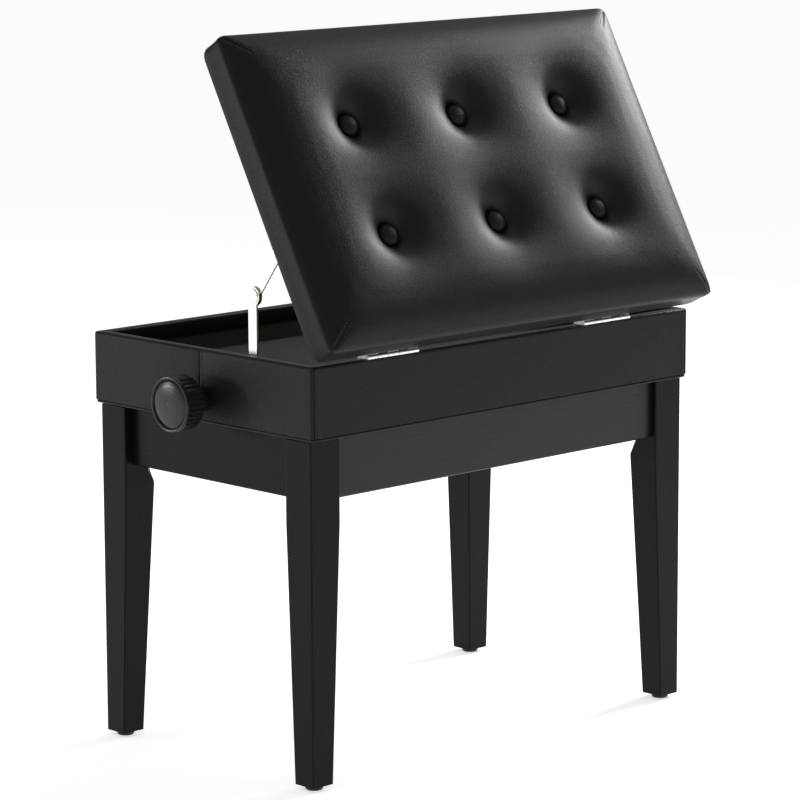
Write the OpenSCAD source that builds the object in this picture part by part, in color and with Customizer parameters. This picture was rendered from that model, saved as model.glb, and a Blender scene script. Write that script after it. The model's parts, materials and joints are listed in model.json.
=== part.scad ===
// Adjustable piano bench: tapered legs and aprons, a storage box on a screw-driven
// scissor lift, and a tufted padded lid held open by a folding stay.
// Axes: +X along the long side, -Y the hinge side, +Z up. Origin on the floor, under
// the centre of the box. The lid is drawn open and the box at its lowest height.

/* [Storage box] */
// Length of the box over its leather
box_l = 550; // [500:5:680]
// Width of the box over its leather
box_w = 334; // [300:2:400]
// Height of the leather sides
box_h = 72; // [68:1:95]
// Height of the lower edge of the leather above the floor, box fully lowered
box_z = 360; // [340:5:430]
// Thickness of the wall boards
wall_t = 9; // [8:0.5:11]
// Thickness of the leather
leather_t = 1.5; // [1:0.1:2]
// Height of the leather turned in behind the rim
turn_in_h = 17; // [12:1:24]
// Height of the edging strip under the leather
edging_h = 3.5; // [3:0.5:6]
// Inset of the edging strip from the face of the leather
edging_inset = 1.5; // [1:0.25:3]
// Thickness of the floor board of the compartment
floor_t = 4; // [3:0.5:6]
// Thickness of the felt on the floor board
felt_t = 0.8; // [0.6:0.1:2]
// Side of the square corner blocks
block_w = 16; // [12:1:22]

/* [Legs] */
// Width of a leg along the long side
leg_wx = 39.5; // [34:0.5:48]
// Width of a leg along the short side
leg_wy = 37.5; // [34:0.5:46]
// Width of a leg at the floor
leg_foot = 27.5; // [22:0.5:32]
// Inset of the legs from the short faces of the box
leg_inset_x = 3.2; // [2:0.2:6]
// Inset of the legs from the long faces of the box
leg_inset_y = 5.8; // [4:0.2:7]
// Radius of the edges of a leg
leg_edge = 1.5; // [0.5:0.25:3]
// Chamfer of the inner corner of a leg
leg_chamfer = 8.7; // [6:0.1:9.5]
// Height over which the chamfer runs out
chamfer_runout = 16; // [10:1:30]
// Height of a glide
glide_h = 5; // [3:0.5:8]
// Radius of a glide
glide_r = 9; // [7:0.5:11]

/* [Aprons] */
// Distance from the lower edge of the leather to the lower edge of the aprons
apron_drop = 66; // [56:1:80]
// Height of the aprons inside the skirt of the box
apron_rise = 8; // [2:0.5:9]
// Thickness of the aprons
apron_t = 15; // [12:0.5:17]
// Chamfer of the lower edges of the aprons
apron_edge = 1.2; // [0.5:0.1:3]
// Setback of the short aprons from the faces of the legs
setback_x = 10.3; // [9.5:0.1:12]
// Setback of the long aprons from the faces of the legs
setback_y = 6.7; // [6.3:0.1:9]

/* [Corner joints] */
// Thickness of the corner brackets
bracket_t = 2; // [1.5:0.25:3]
// Height of the corner brackets
bracket_h = 42; // [34:1:46]
// Length of each flange of a corner bracket
bracket_flange = 22; // [16:1:24]
// Radius of the hanger bolts
bolt_r = 4; // [3:0.25:5]

/* [Lift] */
// Height that the box can be raised
lift_travel = 75; // [40:1:80]
// Length of a lift arm between its pivots
arm_l = 320; // [290:5:340]
// Width of a lift arm
arm_w = 18; // [16:0.5:19]
// Thickness of a lift arm
arm_t = 4; // [3:0.25:5]
// Height between the lower and upper pivots, box fully lowered
arm_rise = 45; // [40:1:48]
// Height of the lead screw above the lower edge of the leather
screw_rise = 20; // [18:0.5:22]
// Radius of the lead screw over its thread
screw_r = 5.5; // [5:0.1:6]
// Radius of the ends of the lead screw
shaft_r = 5; // [4:0.1:5.2]
// Radius of the pivot pins
pin_r = 4; // [3:0.25:4.5]
// Distance from the middle of the bench to the web of a rail
rail_y = 80; // [70:1:84]
// Thickness of the rails
rail_t = 3; // [2:0.25:3.5]
// Height of the web of a rail
rail_h = 24; // [22:1:26]
// Width of the flange of an upper rail
rail_flange = 15; // [12:1:18]

/* [Knobs] */
// Radius of the knobs
knob_r = 28.5; // [22:0.5:32]
// Distance from the leather to the front of a knob
knob_reach = 42; // [38:0.5:50]
// Length of the ribbed skirt
knob_skirt = 20; // [14:0.5:24]
// Number of ribs on a knob
knob_ribs = 32; // [20:1:40]

/* [Lid] */
// Gap between the rim of the box and the closed lid
lid_gap = 4; // [3.5:0.1:6]
// Thickness of the padded lid at its crown
lid_h = 51; // [44:1:60]
// Height of the upright side band of the cushion
band_h = 30; // [24:1:36]
// Width over which the crown rises from the band
crown_w = 55; // [40:1:70]
// Radius of the corners of the cushion
cushion_corner = 10; // [6:0.5:16]
// Bulge of the side band over the base of the lid
band_bulge = 3; // [1:0.5:5]
// Amount that the base of the lid overhangs the box
lid_overhang = 0.5; // [0:0.25:2]
// Thickness of the lid board
lid_board_t = 12; // [9:0.5:15]
// Angle of the open lid
lid_open = 61.4; // [50:0.1:65]
// Distance between the columns of buttons
button_dx = 152; // [120:1:170]
// Distance between the rows of buttons
button_dy = 120; // [90:1:140]
// Shift of the buttons away from the hinges
button_shift = 2; // [0:0.5:6]
// Radius of a button
button_r = 12; // [9:0.5:15]
// Height of the foot of a button above the lid board
button_seat = 18.5; // [10:0.5:20]

/* [Hinges] */
// Length of a hinge
hinge_l = 70; // [60:1:90]
// Width of a leaf from the pin
leaf_w = 14.5; // [12:0.5:15]
// Thickness of a leaf
leaf_t = 1.5; // [1.2:0.1:1.6]
// Radius of the knuckles
knuckle_r = 2.5; // [2.3:0.1:2.8]
// Radius of the hinge pins
hinge_pin_r = 1.25; // [1:0.05:1.5]
// Distance of the pin from the back of the box
hinge_out = 3; // [2.9:0.1:4]
// Distance from the left end of the box to the left hinge
hinge_left = 106.5; // [70:0.5:160]
// Distance from the right end of the box to the right hinge
hinge_right = 131.5; // [70:0.5:160]

/* [Stay] */
// Length of the lower arm of the stay
stay_lower_l = 73.5; // [70:0.5:76]
// Angle of the lower arm with the lid open
stay_lower_angle = 90; // [86:0.5:96]
// Distance of the lower pivot from the back of the box
stay_foot_y = 102; // [98:0.5:108]
// Depth of the lower pivot under the rim
stay_foot_drop = 15; // [12:0.5:16]
// Distance of the lid pivot from the hinge pin
stay_lid_reach = 123; // [121:0.5:126]
// Depth of the lid pivot under the lid
stay_lid_drop = 16; // [15:0.5:18]
// Width of the stay arms
stay_w = 12; // [9:0.5:13]
// Thickness of the stay arms
stay_t = 2; // [1.5:0.1:2]
// Radius of the elbow discs
elbow_r = 10; // [8:0.5:10]

/* [Hidden] */

$fn = 48;
eps = 0.01;
SIDES = [-1, 1];

// Running clearance of a pin in its bore, and of a screw in its hole
pin_gap = 0.05;
// Clearance between flat faces that pass each other
face_gap = 0.3;
// Distance between neighbouring arms and rails
plate_gap = 1;
// Play of the pivots that let the crossed arms move evenly
open_play = 0.9;
// Gap between the legs and the lowered box
rest_gap = 1;

// Faces of the box
box_x = box_l / 2;
box_y = box_w / 2;
box_top = box_z + box_h;
edging_z = box_z - edging_h;
board_x = box_x - leather_t;
board_y = box_y - leather_t;
skirt_x = board_x - wall_t;
skirt_y = board_y - wall_t;
board_top = box_top - leather_t;

// Faces of the legs and aprons
leg_x = box_x - leg_inset_x;
leg_y = box_y - leg_inset_y;
leg_in_x = leg_x - leg_wx;
leg_in_y = leg_y - leg_wy;
leg_top = edging_z - rest_gap;
apron_bottom = box_z - apron_drop;
apron_top = box_z + apron_rise;
apron_h = apron_top - apron_bottom;
apron_x = leg_x - setback_x;
apron_y = leg_y - setback_y;
apron_in_x = apron_x - apron_t;
apron_in_y = apron_y - apron_t;
chamfer_end = apron_bottom - 8;
glide_stem_r = 1.5;
glide_stem_l = 10;

// Corner joints: a bracket and a bolt across each corner, at 45 degrees
bolt_z = apron_bottom + 36;
bolt_in = 27.5;
bolt_out = 17;
bolt_depth = 28;
bracket_gap = 2.5;
chamfer_sum = leg_in_x + leg_in_y + leg_chamfer;
bracket_sum = chamfer_sum - bracket_gap * sqrt(2);
washer_t = 1.6;
nut_t = 6.5;
nut_r = 7.5;
screw_shank = 1.9;
screw_head = 4;
screw_head_t = 2;
screw_bite = 11;
screw_dz = 13;

// Lift
screw_z = box_z + screw_rise;
low_z = screw_z - arm_rise;
arm_angle = asin(arm_rise / arm_l);
arm_angle_up = asin((arm_rise + lift_travel) / arm_l);
end_low = arm_l * cos(arm_angle);
end_high = arm_l * cos(arm_angle_up);
pivot_x = -end_low / 2;
outer_y = rail_y - plate_gap - arm_t;
inner_y = outer_y - plate_gap - arm_t;
rail_out_y = rail_y + rail_t;
floor_z = screw_z + 11.5;
upper_rail_top = floor_z;
head_t = 1.7;
pin_head_r = 6;
slot_h = 2 * (pin_r + open_play);
slot_x0 = pivot_x + end_high - open_play;
slot_x1 = pivot_x + end_low + open_play;
upper_rail_x0 = pivot_x - 20;
upper_rail_x1 = slot_x1 + 26;
tab_w = 20;
tab_t = 2;
nut_block = [24, 26, 20];
thread_end = skirt_x - 28;
collar_r = 9;
collar_l = 8;
collar_x = skirt_x - 3;
bush_r = 8;
bush_flange_r = 12;
bush_flange_t = 2;

// Knobs
hub_r = 13;
hub_x = box_x + bush_flange_t + 1;
knob_x = box_x + knob_reach;
knob_rim = 4;
skirt_x0 = knob_x - knob_rim - knob_skirt;
rib_h = 1;

// Hinges and lid, drawn closed and then opened about the pin
hinge_y = -box_y - hinge_out;
hinge_z = box_top + lid_gap / 2;
lid_z = box_top + lid_gap;
lid_x = box_x + lid_overhang;
lid_y = box_y + lid_overhang;
wrap_w = 22;
lid_leather = 1.2;
lid_board_z = lid_z + lid_leather + 0.3;
lid_board_top = lid_board_z + lid_board_t;
lid_board_inset = 2.5;
corner_steps = 4;
button_z = lid_board_top + button_seat;
button_well = button_r + 3;
button_t = 7;
tuft_r = 1.5;
washer_r = 9;
hinge_xs = [-box_x + hinge_left, box_x - hinge_right];
knuckles = 5;
knuckle_gap = 0.3;
hinge_screw_r = 1.6;
hinge_screw_head = 3;
hinge_screw_l = 12;
hinge_screw_dx = 24;
leaf_screw_y = hinge_y + 8.6;
stay_screw_l = 9;

// Stay, in planes across X beside the left wall
stay_bracket_x = -skirt_x + 1;
stay_bracket_t = 2;
stay_low_x = stay_bracket_x + stay_bracket_t + plate_gap;
stay_up_x = stay_low_x + stay_t + 0.5;
lid_ear_x = stay_up_x + stay_t + 0.7;
stay_pin_r = 3;
foot_y = -box_y + stay_foot_y;
foot_z = box_top - stay_foot_drop;
elbow_y = foot_y + stay_lower_l * cos(stay_lower_angle);
elbow_z = foot_z + stay_lower_l * sin(stay_lower_angle);
lid_dy = stay_lid_reach;
lid_dz = lid_z - stay_lid_drop - hinge_z;
lid_pivot_y = hinge_y + lid_dy * cos(lid_open) - lid_dz * sin(lid_open);
lid_pivot_z = hinge_z + lid_dy * sin(lid_open) + lid_dz * cos(lid_open);
stay_upper_l = norm([lid_pivot_y - elbow_y, lid_pivot_z - elbow_z]);
stay_upper_angle = atan2(lid_pivot_z - elbow_z, lid_pivot_y - elbow_y);

// Colours
ESPRESSO = [0.05, 0.04, 0.04];
LEATHER = [0.04, 0.04, 0.045];
FELT = [0.08, 0.06, 0.06];
PLY = [0.55, 0.42, 0.28];
NICKEL = [0.78, 0.77, 0.74];
ZINC = [0.55, 0.56, 0.57];
PLASTIC = [0.05, 0.05, 0.055];
FOAM = [0.85, 0.82, 0.7];

// ---- Helpers ----

module at_corner(sx, sy) {
    mirror([sx < 0 ? 1 : 0, 0, 0])
        mirror([0, sy < 0 ? 1 : 0, 0])
            children();
}

module at_corners() {
    for (sx = SIDES, sy = SIDES)
        at_corner(sx, sy) children();
}

// A box given by its low and high corners
module block(low, high) {
    translate(low) cube(high - low);
}

// A square ring, outer half sizes ox and oy, inner half sizes ix and iy
module ring(ox, oy, ix, iy, z0, z1) {
    difference() {
        block([-ox, -oy, z0], [ox, oy, z1]);
        block([-ix, -iy, z0 - 1], [ix, iy, z1 + 1]);
    }
}

module rod_x(r, x0, x1) {
    translate([x0, 0, 0]) rotate([0, 90, 0]) cylinder(r = r, h = x1 - x0);
}

module rod_y(r, y0, y1) {
    translate([0, y0, 0]) rotate([-90, 0, 0]) cylinder(r = r, h = y1 - y0);
}

// Everything that moves with the lid, opened about the hinge pin
module opened() {
    translate([0, hinge_y, hinge_z])
        rotate([lid_open, 0, 0])
            translate([0, -hinge_y, -hinge_z]) children();
}

// A flat arm with round ends, from one pivot to the next in the XZ plane
module lift_arm(angle, y0, hole_mid) {
    rotate([0, -angle, 0]) difference() {
        union() {
            block([0, y0, -arm_w / 2], [arm_l, y0 + arm_t, arm_w / 2]);
            for (x = [0, arm_l])
                translate([x, 0, 0]) rod_y(arm_w / 2, y0, y0 + arm_t);
        }
        for (x = [0, arm_l])
            translate([x, 0, 0]) rod_y(pin_r + pin_gap, y0 - 1, y0 + arm_t + 1);
        translate([arm_l / 2, 0, 0]) rod_y(hole_mid, y0 - 1, y0 + arm_t + 1);
    }
}

// A flat arm with a disc at each end, in the YZ plane
module stay_arm(x0, length, r0, r1, bore0, bore1) {
    difference() {
        union() {
            block([x0, 0, -stay_w / 2], [x0 + stay_t, length, stay_w / 2]);
            rod_x(r0, x0, x0 + stay_t);
            translate([0, length, 0]) rod_x(r1, x0, x0 + stay_t);
        }
        rod_x(bore0, x0 - 1, x0 + stay_t + 1);
        translate([0, length, 0]) rod_x(bore1, x0 - 1, x0 + stay_t + 1);
    }
}

// A countersunk screw along +Z, its flat head at z = 0
module sunk_screw(length) {
    cylinder(r1 = hinge_screw_head, r2 = hinge_screw_r, h = leaf_t - 0.1);
    cylinder(r = hinge_screw_r, h = length);
}

// The hole in a leaf or bracket for a countersunk screw
module sunk_hole() {
    translate([0, 0, -eps])
        cylinder(r1 = hinge_screw_head + pin_gap, r2 = hinge_screw_r + pin_gap, h = leaf_t);
    translate([0, 0, -1]) cylinder(r = hinge_screw_r + pin_gap, h = hinge_screw_l + 2);
}

// ---- Frame ----

// A post with round upright edges, given by its low and high corners
module post(low, high, r) {
    block([low[0] + r, low[1], low[2]], [high[0] - r, high[1], high[2]]);
    block([low[0], low[1] + r, low[2]], [high[0], high[1] - r, high[2]]);
    for (x = [low[0] + r, high[0] - r], y = [low[1] + r, high[1] - r])
        translate([x, y, low[2]]) cylinder(r = r, h = high[2] - low[2]);
}

module leg() {
    knee = chamfer_end - chamfer_runout;
    foot_x = leg_x - leg_foot;
    foot_y0 = leg_y - leg_foot;
    color(ESPRESSO) difference() {
        union() {
            post([leg_in_x, leg_in_y, knee], [leg_x, leg_y, leg_top], leg_edge);
            hull() {
                post([leg_in_x, leg_in_y, knee], [leg_x, leg_y, knee + eps], leg_edge, $fn = 24);
                post([foot_x, foot_y0, glide_h], [leg_x, leg_y, glide_h + eps], leg_edge, $fn = 24);
            }
        }
        leg_chamfer_cut();
        hanger_axis() rod_x(bolt_r + pin_gap, -5, bolt_depth);
        translate([leg_x - leg_foot / 2, leg_y - leg_foot / 2, 0])
            cylinder(r = glide_stem_r + pin_gap, h = glide_h + glide_stem_l + 1);
    }
}

module leg_chamfer_cut() {
    translate([leg_in_x, leg_in_y, chamfer_end]) {
        linear_extrude(leg_top - chamfer_end + 1)
            polygon([[-1, -1], [leg_chamfer + 1, -1], [-1, leg_chamfer + 1]]);
        hull() {
            linear_extrude(eps)
                polygon([[-1, -1], [leg_chamfer + 1, -1], [-1, leg_chamfer + 1]]);
            translate([0, 0, -chamfer_runout]) linear_extrude(eps)
                polygon([[-1, -1], [1, -1], [-1, 1]]);
        }
    }
}

module leg_back_left() { at_corner(-1, -1) leg(); }
module leg_back_right() { at_corner(1, -1) leg(); }
module leg_front_left() { at_corner(-1, 1) leg(); }
module leg_front_right() { at_corner(1, 1) leg(); }

// Holes for the screws of the corner brackets, in both flanges
module bracket_screw_places() {
    for (z = [bolt_z - screw_dz, bolt_z + screw_dz]) {
        translate([apron_in_x, bracket_sum - apron_in_x - bracket_flange / 2, z])
            children();
        translate([bracket_sum - apron_in_y - bracket_flange / 2, apron_in_y, z])
            rotate([0, 0, 90]) children();
    }
}

module bracket_screw_bores() {
    at_corners() bracket_screw_places() rod_x(screw_shank + pin_gap, -3, screw_bite + 0.5);
}

// The section of an apron, from its inner face at t = 0 to its outer face
module apron_section() {
    e = apron_edge;
    polygon([[e, apron_bottom], [apron_t - e, apron_bottom], [apron_t, apron_bottom + e],
        [apron_t, apron_top], [0, apron_top], [0, apron_bottom + e]]);
}

module long_apron() {
    color(ESPRESSO) difference() {
        translate([-leg_in_x, apron_in_y, 0]) rotate([90, 0, 90])
            linear_extrude(2 * leg_in_x) apron_section();
        bracket_screw_bores();
    }
}

module short_apron() {
    color(ESPRESSO) difference() {
        translate([apron_in_x, leg_in_y, 0]) rotate([90, 0, 0])
            linear_extrude(2 * leg_in_y) apron_section();
        bracket_screw_bores();
        rail_tab_screw_places() rod_x(screw_shank + pin_gap, -3, screw_bite + 0.5);
    }
}

module apron_back() { mirror([0, 1, 0]) long_apron(); }
module apron_front() { long_apron(); }
module apron_left() { mirror([1, 0, 0]) short_apron(); }
module apron_right() { short_apron(); }

module glides() {
    color(PLASTIC) at_corners()
        translate([leg_x - leg_foot / 2, leg_y - leg_foot / 2, 0]) {
            cylinder(r1 = glide_r - 1, r2 = glide_r, h = 1);
            translate([0, 0, 1]) cylinder(r = glide_r, h = glide_h - 1);
            cylinder(r = glide_stem_r, h = glide_h + glide_stem_l);
        }
}

module corner_brackets() {
    inner_sum = bracket_sum - bracket_t * sqrt(2);
    inner_x = apron_in_x - bracket_t;
    inner_y = apron_in_y - bracket_t;
    color(ZINC) at_corners() difference() {
        translate([0, 0, bolt_z - bracket_h / 2]) linear_extrude(bracket_h)
            polygon([[apron_in_x, bracket_sum - apron_in_x - bracket_flange],
                [apron_in_x, bracket_sum - apron_in_x],
                [bracket_sum - apron_in_y, apron_in_y],
                [bracket_sum - apron_in_y - bracket_flange, apron_in_y],
                [bracket_sum - apron_in_y - bracket_flange, inner_y],
                [inner_sum - inner_y, inner_y],
                [inner_x, inner_sum - inner_x],
                [inner_x, bracket_sum - apron_in_x - bracket_flange]]);
        bracket_screw_places() rod_x(screw_shank + 0.3, -bracket_t - 3, 3);
        hanger_axis() rod_x(bolt_r + 0.3, -bracket_gap - bracket_t - 3, 0);
    }
}

// The axis of a hanger bolt: x = 0 on the chamfer, +X into the leg
module hanger_axis() {
    translate([leg_in_x + leg_chamfer / 2, leg_in_y + leg_chamfer / 2, bolt_z])
        rotate([0, 0, 45]) children();
}

module hanger_bolts() {
    color(ZINC) at_corners() hanger_axis() rod_x(bolt_r, -bolt_out, bolt_in);
}

module hanger_nuts() {
    seat = -bracket_gap - bracket_t - face_gap;
    color(ZINC) at_corners() hanger_axis() difference() {
        union() {
            rod_x(nut_r + 2, seat - washer_t, seat);
            translate([seat - washer_t - nut_t, 0, 0]) rotate([0, 90, 0])
                cylinder(r = nut_r, h = nut_t, $fn = 6);
        }
        rod_x(bolt_r + pin_gap, -bolt_out - 1, 1);
    }
}

module bracket_screws() {
    color(ZINC) at_corners() bracket_screw_places() {
        rod_x(screw_head, -bracket_t - screw_head_t, -bracket_t);
        rod_x(screw_shank, -bracket_t - 1, screw_bite);
    }
}

// ---- Lower half of the lift ----

module rail_tab_screw_places() {
    for (sy = SIDES, z = [low_z - 7, low_z + 7])
        translate([apron_in_x, sy * (rail_y - tab_w / 2), z]) children();
}

// The slot of a rail at height z, for a pin that slides along X
module rail_slot(z) {
    translate([slot_x0, 0, z]) rod_y(slot_h / 2, rail_y - 1, rail_out_y + 1);
    translate([slot_x1, 0, z]) rod_y(slot_h / 2, rail_y - 1, rail_out_y + 1);
    block([slot_x0, rail_y - 1, z - slot_h / 2], [slot_x1, rail_out_y + 1, z + slot_h / 2]);
}

module lower_rail() {
    color(ZINC) difference() {
        union() {
            block([-apron_in_x, rail_y, low_z - rail_h / 2],
                [apron_in_x, rail_out_y, low_z + rail_h / 2]);
            for (sx = SIDES) mirror([sx < 0 ? 1 : 0, 0, 0])
                block([apron_in_x - tab_t, rail_y - tab_w, low_z - rail_h / 2],
                    [apron_in_x, rail_y + 1, low_z + rail_h / 2]);
        }
        rail_slot(low_z);
        translate([pivot_x, 0, low_z]) rod_y(pin_r + pin_gap, rail_y - 1, rail_out_y + 1);
        for (sx = SIDES) mirror([sx < 0 ? 1 : 0, 0, 0])
            rail_tab_screw_places() rod_x(screw_shank + 0.3, -tab_t - 3, 3);
    }
}

module lower_rail_back() { mirror([0, 1, 0]) lower_rail(); }
module lower_rail_front() { lower_rail(); }

module lower_pivot_bar() {
    color(ZINC) translate([pivot_x, 0, low_z]) {
        rod_y(pin_r, -rail_out_y - face_gap - head_t, rail_out_y + face_gap + head_t);
        rod_y(pin_head_r, -outer_y + face_gap, outer_y - face_gap);
        for (sy = SIDES) mirror([0, sy < 0 ? 1 : 0, 0])
            rod_y(pin_head_r, rail_out_y + face_gap, rail_out_y + face_gap + head_t);
    }
}

module lower_rail_screws() {
    color(ZINC) for (sx = SIDES) mirror([sx < 0 ? 1 : 0, 0, 0])
        rail_tab_screw_places() {
            rod_x(screw_head, -tab_t - screw_head_t, -tab_t);
            rod_x(screw_shank, -tab_t - 1, screw_bite);
        }
}

// ---- Storage box ----

module long_wall() {
    color(PLY) block([-board_x, skirt_y, box_z], [board_x, board_y, board_top]);
}

module short_wall() {
    color(PLY) difference() {
        block([skirt_x, -skirt_y, box_z], [board_x, skirt_y, board_top]);
        translate([0, 0, screw_z]) rod_x(bush_r + pin_gap, skirt_x - 1, box_x + 1);
    }
}

module box_wall_back() {
    difference() {
        mirror([0, 1, 0]) long_wall();
        hinge_screw_places(box_top + leaf_t) mirror([0, 0, 1])
            cylinder(r = hinge_screw_r + pin_gap, h = hinge_screw_l + 1);
    }
}

module box_wall_front() { long_wall(); }

module box_wall_left() {
    difference() {
        mirror([1, 0, 0]) short_wall();
        stay_wall_screw_places() rod_x(hinge_screw_r + pin_gap, -stay_screw_l - 0.5, 1);
    }
}

module box_wall_right() { short_wall(); }

module box_cover() {
    flap_x = skirt_x - 1;
    flap_y = skirt_y - 1;
    color(LEATHER) difference() {
        union() {
            ring(box_x, box_y, board_x, board_y, box_z, box_top);
            ring(board_x, board_y, flap_x, flap_y, board_top, box_top);
            ring(skirt_x, skirt_y, flap_x, flap_y, box_top - turn_in_h, board_top);
        }
        translate([0, 0, screw_z])
            rod_x(bush_r + pin_gap, -box_x - 1, box_x + 1);
        hinge_screw_places(box_top + leaf_t) mirror([0, 0, 1])
            cylinder(r = hinge_screw_r + pin_gap, h = hinge_screw_l + 1);
        stay_wall_screw_places() rod_x(hinge_screw_r + pin_gap, -stay_screw_l - 0.5, 1);
    }
}

module bottom_edging() {
    color(LEATHER)
        ring(box_x - edging_inset, box_y - edging_inset, skirt_x, skirt_y, edging_z, box_z);
}

module storage_floor() {
    color(PLY) difference() {
        block([-skirt_x, -skirt_y, floor_z], [skirt_x, skirt_y, floor_z + floor_t]);
        upper_rail_screw_places() cylinder(r = screw_shank + pin_gap, h = floor_t);
    }
}

module floor_felt() {
    color(FELT) block([-skirt_x, -skirt_y, floor_z + floor_t],
        [skirt_x, skirt_y, floor_z + floor_t + felt_t]);
}

module corner_blocks() {
    color(PLY) at_corners()
        block([skirt_x - block_w, skirt_y - block_w, apron_top + 3], [skirt_x, skirt_y, floor_z]);
}

module upper_rail_screw_places() {
    for (sy = SIDES, x = [upper_rail_x0 + 14, 0, upper_rail_x1 - 14])
        translate([x, sy * (rail_out_y + rail_flange / 2), floor_z]) children();
}

module upper_rail() {
    color(ZINC) difference() {
        union() {
            block([upper_rail_x0, rail_y, screw_z - rail_h / 2],
                [upper_rail_x1, rail_out_y, floor_z]);
            block([upper_rail_x0, rail_y, floor_z - tab_t],
                [upper_rail_x1, rail_out_y + rail_flange, floor_z]);
        }
        rail_slot(screw_z);
        translate([pivot_x, 0, screw_z]) rod_y(pin_r + pin_gap, rail_y - 1, rail_out_y + 1);
        upper_rail_screw_places() translate([0, 0, -tab_t - 1])
            cylinder(r = screw_shank + 0.3, h = tab_t + 2);
    }
}

module upper_rail_back() { mirror([0, 1, 0]) upper_rail(); }
module upper_rail_front() { upper_rail(); }

module upper_pivot_pins() {
    color(ZINC) translate([pivot_x, 0, screw_z])
        for (sy = SIDES) mirror([0, sy < 0 ? 1 : 0, 0]) {
            rod_y(pin_r, inner_y - face_gap - head_t, rail_out_y + face_gap + head_t);
            rod_y(pin_head_r, inner_y - face_gap - head_t, inner_y - face_gap);
            rod_y(pin_head_r, inner_y + arm_t + face_gap, rail_y);
            rod_y(pin_head_r, rail_out_y, rail_out_y + face_gap + head_t);
        }
}

module upper_rail_screws() {
    color(ZINC) upper_rail_screw_places() {
        translate([0, 0, -tab_t - screw_head_t]) cylinder(r = screw_head, h = screw_head_t);
        translate([0, 0, -tab_t - 1]) cylinder(r = screw_shank, h = tab_t + floor_t);
    }
}

module knob_bushes() {
    color(PLASTIC) for (sx = SIDES) mirror([sx < 0 ? 1 : 0, 0, 0])
        translate([0, 0, screw_z]) difference() {
            union() {
                rod_x(bush_r, skirt_x, box_x + 1);
                rod_x(bush_flange_r, box_x, box_x + bush_flange_t);
            }
            rod_x(shaft_r + pin_gap, skirt_x - 1, box_x + bush_flange_t + 1);
        }
}

// ---- Hinges ----

module hinge_screw_places(z) {
    for (x = hinge_xs, dx = [-hinge_screw_dx, 0, hinge_screw_dx])
        translate([x + dx, leaf_screw_y, z]) children();
}

// One leaf of a hinge: the plate with the knuckles named in picks
module hinge_leaf(z0, picks) {
    step = hinge_l / knuckles;
    for (i = [0 : knuckles - 1])
        translate([-hinge_l / 2 + i * step, 0, 0]) {
            x1 = step - knuckle_gap;
            back = len(search(i, picks)) > 0 ? hinge_y : hinge_y + knuckle_r + face_gap;
            difference() {
                union() {
                    block([knuckle_gap, back, z0], [x1, hinge_y + knuckle_r + 1, z0 + leaf_t]);
                    if (len(search(i, picks)) > 0)
                        translate([0, hinge_y, hinge_z]) rod_x(knuckle_r, knuckle_gap, x1);
                }
                translate([0, hinge_y, hinge_z]) rod_x(hinge_pin_r + pin_gap, -1, step + 1);
            }
        }
    block([-hinge_l / 2 + knuckle_gap, hinge_y + knuckle_r + face_gap + 0.2, z0],
        [hinge_l / 2 - knuckle_gap, hinge_y + leaf_w, z0 + leaf_t]);
}

module box_hinge_leaves() {
    color(NICKEL) difference() {
        for (x = hinge_xs) translate([x, 0, 0]) hinge_leaf(box_top, [0, 2, 4]);
        hinge_screw_places(box_top + leaf_t) mirror([0, 0, 1]) sunk_hole();
    }
}

module hinge_pins() {
    color(NICKEL) for (x = hinge_xs) translate([x, hinge_y, hinge_z])
        rod_x(hinge_pin_r, -hinge_l / 2 - 0.5, hinge_l / 2 + 0.5);
}

module box_hinge_screws() {
    color(NICKEL) hinge_screw_places(box_top + leaf_t) mirror([0, 0, 1])
        sunk_screw(hinge_screw_l);
}

module lid_hinge_leaves() {
    color(NICKEL) opened() difference() {
        for (x = hinge_xs) translate([x, 0, 0]) hinge_leaf(lid_z - leaf_t, [1, 3]);
        hinge_screw_places(lid_z - leaf_t) sunk_hole();
    }
}

module lid_hinge_screws() {
    color(NICKEL) opened() hinge_screw_places(lid_z - leaf_t) sunk_screw(hinge_screw_l);
}

// ---- Lid ----

module lid_screw_bores() {
    hinge_screw_places(lid_z - leaf_t)
        cylinder(r = hinge_screw_r + pin_gap, h = hinge_screw_l + 0.5);
    stay_lid_screw_places() cylinder(r = hinge_screw_r + pin_gap, h = hinge_screw_l + 0.5);
}

module button_places() {
    for (ix = [-1, 0, 1], sy = SIDES)
        translate([ix * button_dx, sy * button_dy / 2 + button_shift, 0]) children();
}

// The board of the lid: a rectangle with corners that follow the cushion
module lid_board_form() {
    bx = lid_x - lid_board_inset;
    by = lid_y - lid_board_inset;
    r = max(cushion_corner - lid_board_inset, 1);
    block([r - bx, -by, lid_board_z], [bx - r, by, lid_board_top]);
    block([-bx, r - by, lid_board_z], [bx, by - r, lid_board_top]);
    for (sx = SIDES, sy = SIDES)
        translate([sx * (bx - r), sy * (by - r), lid_board_z])
            cylinder(r = r, h = lid_board_t);
}

module lid_board() {
    color(PLY) opened() difference() {
        lid_board_form();
        lid_screw_bores();
        button_places() translate([0, 0, lid_board_z]) {
            translate([0, 0, -1]) cylinder(r = tuft_r + 0.5, h = lid_board_t + 2);
            translate([0, 0, -1]) cylinder(r = washer_r + 0.5, h = 3);
        }
    }
}

// The heights of the cushion's rings, and how far each stands out of the base
function cushion_levels(skin) = concat([[skin, -skin], [10, band_bulge - skin]],
    [for (i = [0 : 6]) let (a = 15 * i)
        [band_h + (lid_h - skin - band_h) * sin(a),
            band_bulge - skin - crown_w * (1 - cos(a))]]);

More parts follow.
